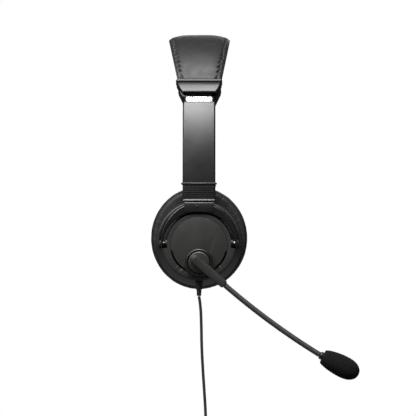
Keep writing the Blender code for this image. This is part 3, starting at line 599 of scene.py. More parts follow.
def end_caps(name, side):
    rows = {angle: (half, out) for angle, half, out in cap_rows()}

    def outer_section(angle):
        half, out = rows[angle]
        shoulder = [(half - 1.2 * (1 - math.cos(t)), out - 0.95 * (1 - math.sin(t))) for t in quarter_turn(5)]
        return [(-half, 0.35), *[(-x, y) for x, y in shoulder], *reversed(shoulder), (half, 0.35)]

    hole = band_rod(SCREW_ANGLE_CAP, side, 0, 3.2, 1.4)
    start, end = min(rows), max(rows)
    sections = []
    for angle in rows:
        lean = 0.3 * ((angle - start) / (end - start)) ** 2
        sections.append([band_point(angle + lean * out / 5.0, side, x, out)
                         for x, out in outer_section(angle)])
    solid(f"{name}_cap_outer_shell", lofted(sections), "headband", "satin_plastic",
          (f"{name}_cap_outer",), bevel=0.22, cuts=[hole])
    top, liner_bottom = band_angle(CAP_TOP_Z), band_angle(LINER_BOTTOM_Z)

    def inner_section(angle):
        share = (angle - top) / (liner_bottom - top)
        half, deep = 17.2 + (11.4 - 17.2) * share, -6.3 + 2.6 * share
        return [
            (-half, deep + 1), (-half, -1.9), (0.25 - half, -1.4), (-POCKET_HALF - 0.35, 0.0),
            (-POCKET_HALF, 0.0),
            (-POCKET_HALF, -1.15), (POCKET_HALF, -1.15), (POCKET_HALF, 0.0), (POCKET_HALF + 0.35, 0.0),
            (half - 0.25, -1.4), (half, -1.9), (half, deep + 1), (half - 1, deep), (1 - half, deep),
        ]

    cuts = [
        band_rod(SCREW_ANGLE_CAP, side, -9, 1, 1.5),
        band_rod(SCREW_ANGLE_CAP, side, -9, -3.6, 2.6),
    ]
    solid(f"{name}_cap_inner_shell", along_band(spaced(top, liner_bottom, 0.5), side, inner_section),
          "headband",
          "satin_plastic", (f"{name}_cap_inner",), bevel=0.3, cuts=cuts)
    screw(f"{name}_cap_screw", SCREW_ANGLE_CAP, side, -4.9, -3.9, 2.8, "headband")


def screw(name, angle, side, head, under_head, end, body):
    """A pan-head screw with a cross recess."""
    start = band_point(angle, side, 0, head)
    direction = (band_point(angle, side, 0, 1) - band_point(angle, side, 0, 0)).normalized()
    step = under_head - head
    profile = [(0, 0), (1.3, 0.02), (1.8, 0.14), (2.1, 0.4), (2.2, 0.7), (2.2, step), (1.0, step),
               (1.0, end - head),
               (0, end - head)]
    turn = direction.to_track_quat("Z", "Y").to_matrix().to_4x4()
    slots = []
    for long, short in ((1.2, 0.22), (0.22, 1.2)):
        slot_shape = box_shape((-long, -short, -0.5), (long, short, 0.55))
        slot_shape.transform(Matrix.Translation(start) @ turn)
        slots.append(slot_shape)
    solid(f"{name}_fine", turned_along(profile, start, direction, 32), body, "screw_steel", (name,),
          cuts=slots)


# --- sliding arm and yoke ---

def sleeve_rows():
    """Angle, half width and reach of the arm's outer moulding, from its rounded top to its bottom bar."""
    half, out = SLEEVE_HALF, SLEEVE_OUT
    rows = [(SLEEVE_TOP_Z - 2.0 * (1 - math.cos(t)), half - 1.9 * (1 - math.sin(t)),
             out - 0.6 * (1 - math.sin(t)))
            for t in quarter_turn(6)]
    z = -46.0
    while z > -101.0:
        rows.append((z, half, out))
        z -= 3.0
    rows.append((RIDGE_Z + 1.6, half, out))
    for i in range(-4, 5):
        bump = math.cos(math.pi * i / 8)
        rows.append((RIDGE_Z - 0.22 * i, half + RIDGE_BUMP * bump, out + 0.7 * bump))
    rows.append((RIDGE_Z - 1.5, half, out))
    for i in range(RIB_COUNT):
        top = RIB_TOP_Z - i * RIB_PITCH
        for down, share in ((0.0, 0.2), (0.12, 0.85), (0.26, 0.85), (0.36, 0.22), (RIB_PITCH - 0.42, 0.03),
                            (RIB_PITCH - 0.2, 0.0)):
            rows.append((top - down, half - 0.12 * share, out - RIB_DEPTH * share))
    for down, wide, reach in ((0.0, 0, -0.1), (0.12, 0.1, 0.1), (0.45, 0.3, 0.28), (0.95, 0.4, 0.52),
                              (1.2, 0.4, 0.58),
                              (1.36, 0.3, 0.4), (1.45, 0.1, 0.1)):
        rows.append((BAR_TOP_Z - down, half + wide, out + reach))
    return [(band_angle(z), half_width, reach) for z, half_width, reach in rows]


def arm(name, side):
    rows = {angle: (half, out) for angle, half, out in sleeve_rows()}

    def outer_section(angle):
        half, out = rows[angle]
        edge = [(half, out - 0.95), (half - 0.1, out - 0.72), (half - 0.9, out - 0.06), (half - 1.15, out)]
        return [
            (-half, -2.1), *[(-x, y) for x, y in edge], *reversed(edge), (half, -2.1),
            (POCKET_HALF, -2.1), (POCKET_HALF, 0.35), (-POCKET_HALF, 0.35), (-POCKET_HALF, -2.1),
        ]

    body = f"arm_{name}"
    hole = band_rod(SCREW_ANGLE_SLEEVE, side, 0, 1.7, 1.3)
    solid(f"{name}_sleeve_outer_shell", along_band(list(rows), side, outer_section), body, "satin_plastic",
          (f"{name}_sleeve_outer",), cuts=[hole], sharp=28)
    top, bottom = band_angle(SLEEVE_TOP_Z), band_angle(SLEEVE_BOTTOM_Z)

    def inner_section(angle):
        half = SLEEVE_HALF
        if angle < top + 0.6:
            half -= 1.9 * (1 - math.sqrt(max(0.0, 1 - (1 - (angle - top) / 0.6) ** 2)))
        return [(-half, -3.4), (-half, -2.4), (half, -2.4), (half, -3.4), (half - 0.25, -3.8),
                (half - 0.8, -4.2),
                (0.8 - half, -4.2), (0.25 - half, -3.8)]

    cuts = [
        band_rod(SCREW_ANGLE_SLEEVE, side, -6, 0, 1.4),
        band_rod(SCREW_ANGLE_SLEEVE, side, -6, -3.1, 2.6),
    ]
    stations = [top + 0.1 * i for i in range(7)] + spaced(top + 1.2, bottom, 1.0)
    solid(f"{name}_sleeve_inner_shell", along_band(stations, side, inner_section), body, "satin_plastic",
          (f"{name}_sleeve_inner",), cuts=cuts, sharp=28)
    screw(f"{name}_sleeve_screw", SCREW_ANGLE_SLEEVE, side, -4.1, -3.4, 1.3, body)


def yoke_radii(angle):
    share = max(0.0, math.sin(math.radians(angle))) ** 1.3
    inner = YOKE_INNER_TIP + (YOKE_INNER_TOP - YOKE_INNER_TIP) * share
    outer = YOKE_OUTER_TIP + (YOKE_OUTER_TOP - YOKE_OUTER_TIP) * share
    return inner, outer, share


def pin_bore(side, reach):
    depth = side * PIN_DEPTH
    return rod((-reach, depth, PIN_Z), (reach, depth, PIN_Z), PIN_RADIUS + PIN_CLEARANCE)


def yoke(name, side):
    """The half ring that holds the cup, its flat block and the tongue that goes up into the arm."""
    def section(angle):
        inner, outer, share = yoke_radii(angle)
        back, front = YOKE_BACK - 1.8 * (1 - share), YOKE_FRONT - 1.2 * (1 - share)
        bevel = min(1.1, 0.35 * (outer - inner))
        lip = min(0.9, 0.3 * (outer - inner))
        corners = [(inner, back), (outer, back), (outer, front - bevel),
                   (outer - 0.35 * bevel, front - 0.3 * bevel),
                   (outer - bevel, front),
                   (inner + lip + 0.5 * (outer - inner - bevel - lip), front - 0.75 * share),
                   (inner + lip, front - 0.9 * share), (inner + 0.4 * lip, front - 0.35 - 0.9 * share),
                   (inner, front - 0.3 - bevel - 0.4 * share)]
        turn = math.radians(angle)
        return [(r * math.cos(turn), side * d, CUP_CENTRE_Z + r * math.sin(turn)) for r, d in corners]

    ring = lofted([section(a) for a in spaced(-6.0, 186.0, 2.0)])
    block = lofted([
        [(-half, side * 77.2, z), (half, side * 77.2, z), (half, side * front, z), (-half, side * front, z)]
        for z, half, front in ((-125.4, 11.0, 85.0), (-118.95, 11.0, 85.0), (-118.75, 11.0, 84.93),
                               (-118.3, 10.8, 84.6),
                               (-118.1, 10.4, 84.3))
    ])
    tongue = along_band(spaced(86.4, 91.2, 0.8), side, lambda a: [(-8, -1.75), (-8, 0), (8, 0), (8, -1.75)])
    depth = side * PIN_DEPTH
    cuts = [
        band_rod(SCREW_ANGLE_SLEEVE, side, -4, 2, 1.4),
        pin_bore(side, 32),
    ]
    body = f"arm_{name}"
    solid(f"{name}_yoke_frame", ring, body, "satin_plastic", (f"{name}_yoke",), bevel=0.25,
          joins=[block, tongue],
          cuts=cuts, sharp=40)
    dot = turned([(0, 85.02), (0.95, 85.02), (0.85, 85.25), (0.5, 85.4), (0, 85.45)], (-1.5, -121.6), side,
                 32, loop=False)
    solid(f"{name}_side_dot", dot, body, "satin_plastic")
    for place, way in (("front", 1), ("rear", -1)):
        bush = [(0, 0), (1.3, 0.1), (1.9, 0.4), (2.3, 0.95), (2.5, 1.5), (2.5, 3.0), (2.3, 3.2), (0, 3.2)]
        bush = turned_along(bush, (way * 30.1, depth, PIN_Z), (-way, 0, 0), 40)
        solid(f"{name}_pivot_bush_{place}", bush, body, "inner_plastic")
        boss = [(0, 0), (2.3, 0), (2.5, 0.2), (2.5, 2.2), (0, 2.2)]
        boss = turned_along(boss, (way * 25.5, depth, PIN_Z), (-way, 0, 0), 40)
        solid(f"{name}_pivot_boss_{place}", boss, f"cup_{name}", "inner_plastic",
              cuts=[pin_bore(side, 32)])
        profile = [(0, 0), (1.5, 0.0), (1.8, 0.15), (1.9, 0.5), (PIN_RADIUS, 0.5), (PIN_RADIUS, 7.0),
                   (0, 7.0)]
        pin = turned_along(profile, (way * 29.4, depth, PIN_Z), (-way, 0, 0), 32)
        node = f"{name}_pivot_pin_{place}"
        solid(f"{node}_fine", pin, body, "screw_steel", (node,), bevel=0.12)


# --- ear cup ---

def upper_half(section, side, first=-8.0, last=188.0, step=3.0):
    rings = []
    for angle in spaced(first, last, step):
        turn = math.radians(angle)
        rings.append([
            (r * math.cos(turn), side * d, CUP_CENTRE_Z + r * math.sin(turn)) for r, d in section(angle)
        ])
    return lofted(rings)


def cup_shell(name, side):
    centre = (0.0, CUP_CENTRE_Z)
    outside = [(0, RIM_BACK), (RIM_RADIUS - 0.5, RIM_BACK), (RIM_RADIUS, RIM_BACK + 0.5),
               (RIM_RADIUS, RIM_FRONT - 0.6),
               (RIM_RADIUS - 0.15, RIM_FRONT + 0.2), (FACE_RADIUS + 0.9, FACE_DEPTH - 1.5),
               (FACE_RADIUS + 0.45, FACE_DEPTH - 0.55), (FACE_RADIUS - 0.2, FACE_DEPTH - 0.1),
               (FACE_RADIUS - 0.7, FACE_DEPTH), (0, FACE_DEPTH)]

    def trench(angle):
        share = max(0.0, math.sin(math.radians(angle)))
        inner, outer = 22.3 + 1.7 * (1 - share ** 2), 30.0 + 10.0 * share ** 2
        return [(inner, SHELF_DEPTH), (outer, SHELF_DEPTH), (outer, FACE_DEPTH + 4), (inner, FACE_DEPTH + 4)]

    wide = RIM_RADIUS - WALL
    rear_room = [(0, RIM_BACK - 2), (wide, RIM_BACK - 2), (wide, RIM_FRONT), (wide - 0.7, SHELF_DEPTH - WALL),
                 (0, SHELF_DEPTH - WALL)]
    middle = [(0, RIM_BACK), (19.8, RIM_BACK), (19.8, FACE_DEPTH - 2.0), (0, FACE_DEPTH - 2.0)]
    lower = [(15, RIM_FRONT), (wide - 0.2, RIM_FRONT), (FACE_RADIUS - WALL + 0.2, FACE_DEPTH - WALL),
             (15, FACE_DEPTH - WALL)]
    hole = PLATE_RADIUS + 0.3
    opening = [(0, FACE_DEPTH - 2.2), (hole, FACE_DEPTH - 2.2), (hole, FACE_DEPTH + 2), (0, FACE_DEPTH + 2)]
    cuts = [
        upper_half(trench, side), turned(rear_room, centre, side, 120, loop=False),
        turned(middle, (0, PLATE_CENTRE_Z + 0.6), side, 96, loop=False),
        turned(lower, centre, side, 60, start=192.0, angle=156.0),
        turned(opening, (0, PLATE_CENTRE_Z), side, 120, loop=False),
        pin_bore(side, 26),
    ]
    if side == RIGHT:
        cuts.append(rod((0, -RELIEF_DEPTH, -172), (0, -RELIEF_DEPTH, -180), 3.15))
    solid(f"{name}_cup_body", turned(outside, centre, side, 120, loop=False), f"cup_{name}", "face_plastic",
          (f"{name}_cup_shell",), bevel=0.2, cuts=cuts, sharp=40)
    # Painted shade: a dark rough ring on the trench floor in the upper half. It stands for the shadow in the gap
    # between the yoke's inner edge and the face disc.
    shade_ring_section = [(24.3, 70.05), (28.4, 70.05), (28.4, 70.7), (24.3, 70.7)]
    solid(f"{name}_cup_liner", upper_half(lambda angle: shade_ring_section, side, -4.0, 184.0, 2.0), f"cup_{name}",
          "inner_plastic")
    roll = [(30.6 + 1.5 * math.cos(t), 69.9 + 1.3 * math.sin(t)) for t in full_turn(24)]
    solid(f"{name}_cup_roll", upper_half(lambda angle: roll, side, -4.0, 184.0, 2.0), f"cup_{name}",
          "face_plastic",
          sharp=60)


def face_plate(name, side):
    """The disc in the cup's face, with two long curved vents along its lower edge."""
    outline = []
    for i in range(180):
        angle = 2.0 * i
        below = 360.0 - angle if angle > 270.0 else angle - 180.0
        slotted = angle > 180.0 and 12.0 <= below <= 60.0
        radius = PLATE_RADIUS + 0.08 - (1.08 if slotted else 0.0)
        turn = math.radians(angle)
        outline.append((radius * math.cos(turn), PLATE_CENTRE_Z + radius * math.sin(turn)))
    cuts = []
    if side == RIGHT:
        cuts.append(turned([(0, 78), (5.6, 78), (5.6, 86), (0, 86)], (0, HUB_Z), RIGHT, 48, loop=False))
    solid(f"{name}_face_disc", prism(outline, FACE_DEPTH - 1.6, FACE_DEPTH, side), f"cup_{name}",
          "face_plastic",
          (f"{name}_face_plate",), bevel=0.18, cuts=cuts, sharp=50)


def ear_cushion(name, side):
    """A stuffed oval ring: leatherette tight at the front, with small radial creases towards both seams."""
    profile = [(18.0, 60.6), (17.7, 56.5), (17.6, 52.0), (18.0, 48.0), (19.2, 44.9), (21.0, 43.0),
               (23.4, 42.1),
               (26.4, 42.0), (29.4, 42.1), (32.0, 42.9), (34.0, 44.4), (35.4, 46.7), (36.2, 49.7),
               (36.4, 52.8),
               (36.1, 55.9), (35.2, 58.4), (34.2, 59.9), (33.4, 60.9), (30.0, 61.0), (24.0, 61.0),
               (19.0, 61.0)]
    shape = bmesh.new()
    steps, across = 288, 3
    smooth = []
    count = len(profile)
    for i in range(count):
        a, b, c, d = (Vector(profile[(i + k) % count]) for k in (-1, 0, 1, 2))
        for j in range(across):
            t = j / across
            smooth.append(curve_point(a, b, c, d, t))
    widest = max(radius for radius, _ in profile)
    stretch = (CUSHION_HALF_X / widest, CUSHION_HALF_Z / widest)
    front = 42.0
    centre = Vector((27.0, 52.0))
    rings = []
    for i in range(steps):
        turn = 2 * math.pi * i / steps
        ring = []
        for point in smooth:
            radius, depth = point
            outward = (point - centre).normalized()
            near_seam = max(0.0, (depth - 50.0) / 11.0) ** 2
            crease = noise.noise(Vector((math.cos(turn) * 9, math.sin(turn) * 9, radius * 0.06 + side)))
            fine = noise.noise(Vector((math.cos(turn) * 26, math.sin(turn) * 26, depth * 0.05)))
            inner = 1.0 if radius < 24 else 0.45
            change = inner * near_seam * (0.32 * crease + 0.28 * fine) + 0.10 * crease
            flat = depth < 42.6
            moved = point + outward * (min(0.0, change) if flat else change)
            ring.append(shape.verts.new((
                stretch[0] * moved.x * math.cos(turn), side * max(front, moved.y),
                CUSHION_CENTRE_Z + stretch[1] * moved.x * math.sin(turn),
            )))
        rings.append(ring)
    for ring, following in zip(rings, rings[1:] + rings[:1]):
        for i in range(len(ring)):
            shape.faces.new((ring[i - 1], ring[i], following[i], following[i - 1]))
    made = solid(f"{name}_cushion_cover", shape, f"cup_{name}", "leatherette", (f"{name}_ear_cushion",),
                 sharp=70)
    seam_profile = [(34.05 + 0.45 * math.cos(t), 60.25 + 0.45 * math.sin(t)) for t in full_turn(10)]
    seam = turned(seam_profile, (0, CUSHION_CENTRE_Z), side, 160, stretch=stretch)
    solid(f"{name}_cushion_seam", seam, f"cup_{name}", "leatherette")


# --- boom ---

def boom_hub():
    profile = [(8.45, 83.05), (HUB_RADIUS, 83.05), (HUB_RADIUS, 86.8), (10.15, 87.3), (9.8, 87.7),
               (9.3, 87.9), (8.9, 87.8),
               (8.6, 87.55), (8.45, 87.2)]
    pod = prism([(-6.9, -169.9), (-4.2, -175.6), (4.2, -175.6), (6.9, -169.9)], 83.05, 85.8)
    clear = turned([(0, 80), (8.44, 80), (8.44, 90), (0, 90)], (0, HUB_Z), RIGHT, 96, loop=False)
    solid("boom_hub_ring", turned(profile, (0, HUB_Z), RIGHT, 96), "cup_right", "satin_plastic",
          ("boom_hub",),
          bevel=0.25, joins=[pod], cuts=[clear], sharp=40)


def strain_relief():
    profile = [(0, 0), (2.75, 0), (2.9, 0.1)]
    rib = 1.66
    for i in range(5):
        top = 0.1 + rib * i
        for down, radius in ((0.75, 2.9), (0.95, 2.75), (1.08, 2.35), (1.2, 2.25), (1.4, 2.25), (1.5, 2.4),
                             (1.6, 2.8)):
            profile.append((radius, top + down))
    neck = RELIEF_TOP_Z - RELIEF_END_Z
    profile += [(2.8, 8.6), (2.4, 8.9), (1.95, 9.3), (1.8, 10.4), (1.66, neck - 0.3), (1.5, neck), (0, neck)]
    relief = turned_along(profile, (0, -RELIEF_DEPTH, RELIEF_TOP_Z), (0, 0, -1), 48)
    return solid("strain_relief_boot", relief, "cup_right", "cable_rubber", ("strain_relief",), sharp=45)


def boom_along(distance, offset=(0.0, 0.0)):
    """A point on the boom's centre line, a distance from the turret's axis, offset (sideways, outwards)."""
    start = math.radians(BOOM_ANGLE)
    radius = GOOSENECK_LENGTH / math.radians(GOOSENECK_TURN)
    bent = min(max(distance - BOOM_ARM_LENGTH, 0.0), GOOSENECK_LENGTH)
    heading = start + bent / radius
    straight = min(distance, BOOM_ARM_LENGTH)
    past = max(distance - BOOM_ARM_LENGTH - GOOSENECK_LENGTH, 0.0)
    x = straight * math.cos(start) + radius * (math.sin(heading) - math.sin(start)) + past * math.cos(heading)
    z = straight * math.sin(start) - radius * (math.cos(heading) - math.cos(start)) + past * math.sin(heading)
    return Vector((x - offset[0] * math.sin(heading), -BOOM_DEPTH - offset[1],
                   HUB_Z + z + offset[0] * math.cos(heading)))


def heading(angle):
    turn = math.radians(angle)
    return Vector((math.cos(turn), 0, math.sin(turn)))


def boom_turret():
    turret = [(0, 88.6), (6.9, 88.6), (7.5, 88.5), (7.9, 88.2), (TURRET_RADIUS, 87.7), (TURRET_RADIUS, 83.8),
              (5.0, 83.8),
              (5.0, 81.0), (1.3, 81.0), (1.3, 86.0), (0, 86.0)]
    solid("boom_turret_disc", turned(turret, (0, HUB_Z), RIGHT, 96, loop=False), "boom", "face_plastic",
          ("boom_turret",))
    rows = [(-BOOM_ARM_TAIL + 3.5 * (1 - math.sin(t)), 3.5 * math.cos(t) + 0.02,
             2.7 - 0.6 * (1 - math.cos(t)))
            for t in (math.pi / 2 * (1 - i / 8) for i in range(9))]
    rows += [(x, 3.5, 2.7) for x in (0.0, 4.0, 9.0)]
    rows += [(14.0, 3.38, 2.68), (20.0, 3.22, 2.64), (BOOM_ARM_LENGTH - 1.2, 3.1, 2.6),
             (BOOM_ARM_LENGTH - 0.4, 2.95, 2.55),
             (BOOM_ARM_LENGTH, 2.7, 2.4)]
    sections = []
    for distance, half, tall in rows:
        low_edge = min(0.75, 0.6 * half)
        corners = [(-half, -tall), (half, -tall), (half, tall - 1.1), (half - 0.12 * low_edge, tall - 0.75),
                   (half - low_edge, tall - 0.08), (half - 1.3 * low_edge, tall),
                   (1.3 * low_edge - half, tall),
                   (low_edge - half, tall - 0.08), (0.12 * low_edge - half, tall - 0.75), (-half, tall - 1.1)]
        sections.append([boom_along(distance, corner) for corner in corners])
    socket = lofted([
        [boom_along(d, (2.25 * math.cos(a), 2.25 * math.sin(a))) for a in full_turn(40)]
        for d in (15.8, 20.0, 24.0, BOOM_ARM_LENGTH + 2)
    ])
    solid("boom_arm_bar", lofted(sections), "boom", "face_plastic", ("boom_arm",), cuts=[socket], sharp=24)


def gooseneck():
    """One tube whose sleeve is wound in fine slanted ribs, laid in a fixed curve between the boom and its tip."""
    around, pitch = 32, 1.0
    first, last = 16.5, BOOM_ARM_LENGTH + GOOSENECK_LENGTH
    rings = []
    for distance in spaced(first, last, 0.16):
        ring = []
        for i in range(around):
            turn = 2 * math.pi * i / around
            wave = math.cos(turn - 2 * math.pi * distance / pitch)
            radius = GOOSENECK_RADIUS + 0.03 * wave
            if distance > last - 0.8:
                radius = GOOSENECK_RADIUS
            ring.append(boom_along(distance, (radius * math.cos(turn), radius * math.sin(turn))))
        rings.append(ring)
    neck = solid("gooseneck", lofted(rings), None, "gooseneck_rubber", ("gooseneck_base", "gooseneck_tip"),
                 sharp=80)
    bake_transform(neck)


def microphone():
    end = BOOM_ARM_LENGTH + GOOSENECK_LENGTH
    start = boom_along(end + 0.3)
    profile = [(0, 0), (2.3, 0), (2.65, 0.12), (2.9, 0.45), (2.95, 0.9), (2.95, 1.7), (2.75, 1.85),
               (2.75, 2.15),
               (2.95, 2.3), (2.95, 5.2), (3.7, 5.2), (3.7, 13.7), (3.4, 14.0), (0, 14.0)]
    solid("mic_collar", turned_along(profile, start, heading(COLLAR_ANGLE), 64), "boom_tip", "satin_plastic",
          ("mic_housing",), sharp=40)
    neck = start + heading(COLLAR_ANGLE) * 2.5
    outside = [(4.55, 0.0), (4.85, 0.05), (5.2, 0.3), (5.6, 0.9), (6.15, 2.4), (6.7, 4.4), (7.25, 7.0),
               (7.7, 10.0),
               (8.0, 13.0), (FOAM_RADIUS - 0.05, 16.0), (FOAM_RADIUS - 0.1, 18.5), (7.9, 21.0), (7.35, 23.4),
               (6.5, 25.5), (5.3, 27.3), (3.9, 28.6), (2.2, 29.5), (0, FOAM_LENGTH - 0.15)]
    inside = [(0, 14.6), (4.3, 14.6), (4.4, 0.3)]
    fine = []
    for (r0, a0), (r1, a1) in zip(outside, outside[1:]):
        fine += [(r0 + (r1 - r0) * t, a0 + (a1 - a0) * t) for t in (0.0, 0.25, 0.5, 0.75)]
    fine.append(outside[-1])
    shape = turned_along(inside + fine, neck, heading(FOAM_ANGLE), 128)
    axis = heading(FOAM_ANGLE)
    shape.normal_update()
    for vertex in shape.verts:
        along = (vertex.co - neck).dot(axis)
        out = vertex.co - neck - axis * along
        if out.length > 4.5 or along > 15:
            cells = noise.noise(vertex.co * 1.9) + 0.6 * noise.noise(vertex.co * 4.1)
            direction = (out.normalized() + axis * max(0.0, (along - 24) / 6)).normalized()
            vertex.co += direction * min(0.16, 0.16 * cells)
    foam = solid("mic_windscreen", shape, "boom_tip", "windscreen_foam", ("mic_foam",), sharp=80)


# --- cable ---

def smooth_route(points, spacing):
    """Points every so far along a smooth curve through the route's own points."""
    dense = []
    ends = [points[0], *points, points[-1]]
    for a, b, c, d in zip(ends, ends[1:], ends[2:], ends[3:]):
        for i in range(12):
            t = i / 12
            dense.append(curve_point(a, b, c, d, t))
    dense.append(points[-1])
    total = sum((b - a).length for a, b in zip(dense, dense[1:]))
    count = round(total / spacing)
    result, walked, target = [dense[0]], 0.0, total / count
    for a, b in zip(dense, dense[1:]):
        length = (b - a).length
        while walked + length >= target * len(result) and len(result) < count:
            result.append(a.lerp(b, (target * len(result) - walked) / length))
        walked += length
    return [*result, dense[-1]]


def hank_turns():
    """Centre-line points of the tied hank: loops of three sizes in four layers, the middle layer free."""
    layer = 2 * CORD_RADIUS
    sizes = [HANK_RADIUS - CORD_RADIUS - layer * i for i in range(3)]
    rows = [-2, -1, 1, 2]
    loops = [(size, layer * row) for n, size in enumerate(sizes)
             for row in (rows if n % 2 == 0 else rows[::-1])]
    lower = HANK_UPPER_Z - HANK_RUN
    points = []

    def place(x, row, z):
        points.append(Vector((HANK_X + x, -HANK_DEPTH + row, z)))

    for n, (size, row) in enumerate(loops):
        following = loops[n + 1] if n + 1 < len(loops) else (size, 0.0)
        for share in (0.15, 0.5, 0.85):
            place(size, row, HANK_UPPER_Z - HANK_RUN * share)
        for i in range(13):
            turn = math.radians(-15.0 * i)
            place(size * math.cos(turn), row, lower + size * math.sin(turn))
        for share in (0.15, 0.5, 0.85):
            place(-size, row, lower + HANK_RUN * share)
        for i in range(13):
            share = i / 12
            ease = share * share * (3 - 2 * share)
            radius = size + (following[0] - size) * ease
            turn = math.radians(180.0 - 15.0 * i)
            place(radius * math.cos(turn), row + (following[1] - row) * ease,
                  HANK_UPPER_Z + radius * math.sin(turn))
    size = sizes[-1]
    for share, x in ((0.2, 1.0), (0.45, 0.8), (0.7, 0.38), (0.9, 0.1), (1.1, 0.0)):
        place(size * x, 0.0, HANK_UPPER_Z - HANK_RUN * share)
    place(0.0, 0.0, lower - HANK_RADIUS - 0.1)
    return points


def cable(relief):
    # The hank's front layer hangs in line with the strain relief, so the route runs straight into it.
    route = smooth_route([Vector((x, -RELIEF_DEPTH, z)) for x, z in CORD_ROUTE], 4.0)
    points = route[:-2] + hank_turns()
    curve = bpy.data.curves.new("cable_line", "CURVE")
    curve.dimensions = "3D"
    spline = curve.splines.new("POLY")
    spline.points.add(len(points) - 1)
    for point, place in zip(spline.points, points):
        point.co = (*(place * MM), 1.0)
    curve.bevel_depth = CORD_RADIUS * MM
    curve.bevel_resolution = 5
    curve.use_fill_caps = True
    line = bpy.data.objects.new("cable_line", curve)
    bpy.context.scene.collection.objects.link(line)
    own(line, "cup_right", "cable_rubber", ("cord_tube", "cord_hank"))
    total = sum((b - a).length for a, b in zip(points, points[1:]))
    print("cable length", round(total), "mm")

    lower = HANK_UPPER_Z - HANK_RUN
    middle = (HANK_UPPER_Z + lower) / 2
    half_x, half_y = HANK_RADIUS + TIE_GAP, HANK_HALF_DEPTH + TIE_GAP
    rings = []
    for more, way in ((0.0, 1), (TIE_THICKNESS, -1)):
        outline = rounded_box(half_x + more, -half_y - more, half_y + more, 3.0 + more, 8)
        for z in (middle - way * TIE_HALF_HEIGHT, middle + way * TIE_HALF_HEIGHT):
            rings.append([Vector((HANK_X + x, -HANK_DEPTH + y, z)) for x, y in outline])
    tie = solid("hank_strap", lofted(rings, closed=True), "cup_right", "cable_rubber", ("hank_tie",),
                bevel=0.25)

    top = lower - HANK_RADIUS - 0.3
    boot, end = top - 5.0, top - 24.0

    def plug_ring(z, half, thick, radius):
        return [Vector((HANK_X + x, -HANK_DEPTH + y, z))
                for x, y in rounded_box(half, -thick, thick, radius, 6)]

    body_rows = [(top, 1.7, 1.7, 1.6), (boot + 2.5, 1.95, 1.95, 1.8), (boot, 2.3, 2.3, 2.0),
                 (boot - 0.6, 3.6, 2.6, 2.0),
                 (boot - 1.5, 6.2, 3.1, 1.9), (boot - 2.6, 7.3, 3.6, 1.7), (boot - 4, 7.8, 3.9, 1.6),
                 (boot - 8, 7.8, 3.9, 1.6),
                 (boot - 8.4, 7.5, 3.7, 1.5), (boot - 9.4, 7.5, 3.7, 1.5), (boot - 9.8, 7.8, 3.9, 1.6),
                 (end + 0.6, 7.8, 3.9, 1.6), (end + 0.15, 7.6, 3.7, 1.5), (end, 7.3, 3.4, 1.4)]
    plug = solid("usb_plug_grip", lofted([plug_ring(*row) for row in body_rows]), "cup_right",
                 "satin_plastic",
                 ("usb_plug_body",), sharp=40)
    windows = [box_shape((HANK_X + x - 1.2, -HANK_DEPTH - 4, end - 8.6),
                         (HANK_X + x + 1.2, -HANK_DEPTH + 4, end - 6.6))
               for x in (-2.9, 2.9)]
    shell = solid("usb_plug_metal", lofted([plug_ring(z, 6.0, 2.25, 0.5) for z in (end - 0.3, end - 12.0)]),
                  "cup_right",
                  "polished_steel", ("usb_plug_shell",),
                  cuts=[lofted([plug_ring(z, 5.6, 1.9, 0.35) for z in (end - 2.0, end - 14.0)]), *windows],
                  sharp=40)
    tongue = solid("usb_plug_tongue", box_shape((HANK_X - 5.3, -HANK_DEPTH - 1.5, end - 11.4),
                                               (HANK_X + 5.3, -HANK_DEPTH + 0.3, end - 2.3)), "cup_right",
                   "inner_plastic", bevel=0.1)


# --- what stays as CAD ---

def dress_cad_nodes():
    """Hidden pieces keep their CAD shape and take the fine material of their slot."""
    slots = {entry["node"]: entry["material_slot"] for entry in frame["record"]["subparts"]}
    for name, node in frame["nodes"].items():
        if node.hide_render:
            continue
        node.data.materials.clear()
        node.data.materials.append(LOOKS[slots[name]])


# --- stage ---

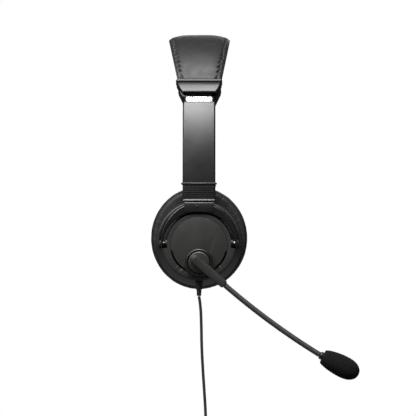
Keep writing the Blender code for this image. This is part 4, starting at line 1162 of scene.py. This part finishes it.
def stage():
    """The pale stage and the camera.

    Only the camera sees the backdrop. The floor also emits light of its own, and diffuse and glossy rays don't
    see it. The camera sees none of the lamps, and floor_glow lights the headset from just above the floor.
    """
    shape = bmesh.new()
    bmesh.ops.create_icosphere(shape, subdivisions=4, radius=6.0)
    dome = stage_object("backdrop", shape,
                        Surface("backdrop_white", (0, 0, 0), 1.0, Emission_Color=(1, 1, 1, 1),
                                                   Emission_Strength=1.0, Specular_IOR_Level=0.0))
    dome.visible_diffuse = dome.visible_glossy = dome.visible_transmission = dome.visible_shadow = False
    shape = bmesh.new()
    bmesh.ops.create_grid(shape, x_segments=1, y_segments=1, size=1.35)
    shape.transform(Matrix.Translation((0, 0, FLOOR_Z)))
    floor = Surface("floor_pale", (0.22, 0.22, 0.22), 0.85, Emission_Color=(1, 1, 0.99, 1),
                    Emission_Strength=0.74)
    floor.vary_roughness(floor.noise(20, 2), 0.05)
    ground = stage_object("floor", shape, floor)
    ground.visible_glossy = ground.visible_diffuse = False
    for name, place, size, power in SOFTBOXES:
        data = bpy.data.lights.new(name, "AREA")
        data.shape, data.size, data.size_y, data.energy = "RECTANGLE", size[0], size[1], power
        lamp = bpy.data.objects.new(name, data)
        lamp.location = place
        lamp.rotation_euler = (Vector(TARGET) - Vector(place)).to_track_quat("-Z", "Y").to_euler()
        lamp.visible_camera = False
        bpy.context.scene.collection.objects.link(lamp)
    world = bpy.data.worlds.new("studio")
    world.use_nodes = True
    world.node_tree.nodes["Background"].inputs["Color"].default_value = (1, 1, 1, 1)
    world.node_tree.nodes["Background"].inputs["Strength"].default_value = WORLD_LIGHT
    bpy.context.scene.world = world
    bpy.context.scene.view_settings.view_transform = "Standard"

    data = bpy.data.cameras.new("photo_view")
    data.sensor_width, data.lens = 36.0, 36.0 * CAMERA_DISTANCE / VIEW_WIDTH
    camera = bpy.data.objects.new("photo_view", data)
    camera.location = CAMERA_PLACE
    camera.rotation_euler = (math.radians(90), 0, 0)
    bpy.context.scene.collection.objects.link(camera)
    bpy.context.scene.camera = camera


def stage_object(name, shape, surface):
    mesh = bpy.data.meshes.new(name)
    shape.to_mesh(mesh)
    shape.free()
    mesh.materials.append(surface.material)
    made = bpy.data.objects.new(name, mesh)
    bpy.context.scene.collection.objects.link(made)
    return made


CAMERA_PLACE = (0.00675, -1.58, -0.1226)
CAMERA_DISTANCE, VIEW_WIDTH = 1.5, 0.312
FLOOR_Z, WORLD_LIGHT = -0.45, 0.03
TARGET = (0.0, -0.07, -0.08)
SOFTBOXES = [
    ("overhead", (-0.08, -0.85, 1.08), (1.0, 0.62), 45.0),
    ("upper_left", (-0.95, -0.85, 0.75), (0.45, 0.45), 12.5),
    ("rear", (0.2, 1.4, 0.5), (0.8, 0.5), 3.0),
    ("floor_glow", (0.0, -0.07, -0.44), (2.2, 2.2), 2.6),
]


def build():
    head_pad()
    steel_strip()
    for name, side in SIDES.items():
        end_caps(name, side)
        arm(name, side)
        yoke(name, side)
        cup_shell(name, side)
        face_plate(name, side)
        ear_cushion(name, side)
    boom_hub()
    boom_turret()
    gooseneck()
    microphone()
    cable(strain_relief())
    dress_cad_nodes()
    stage()


build()
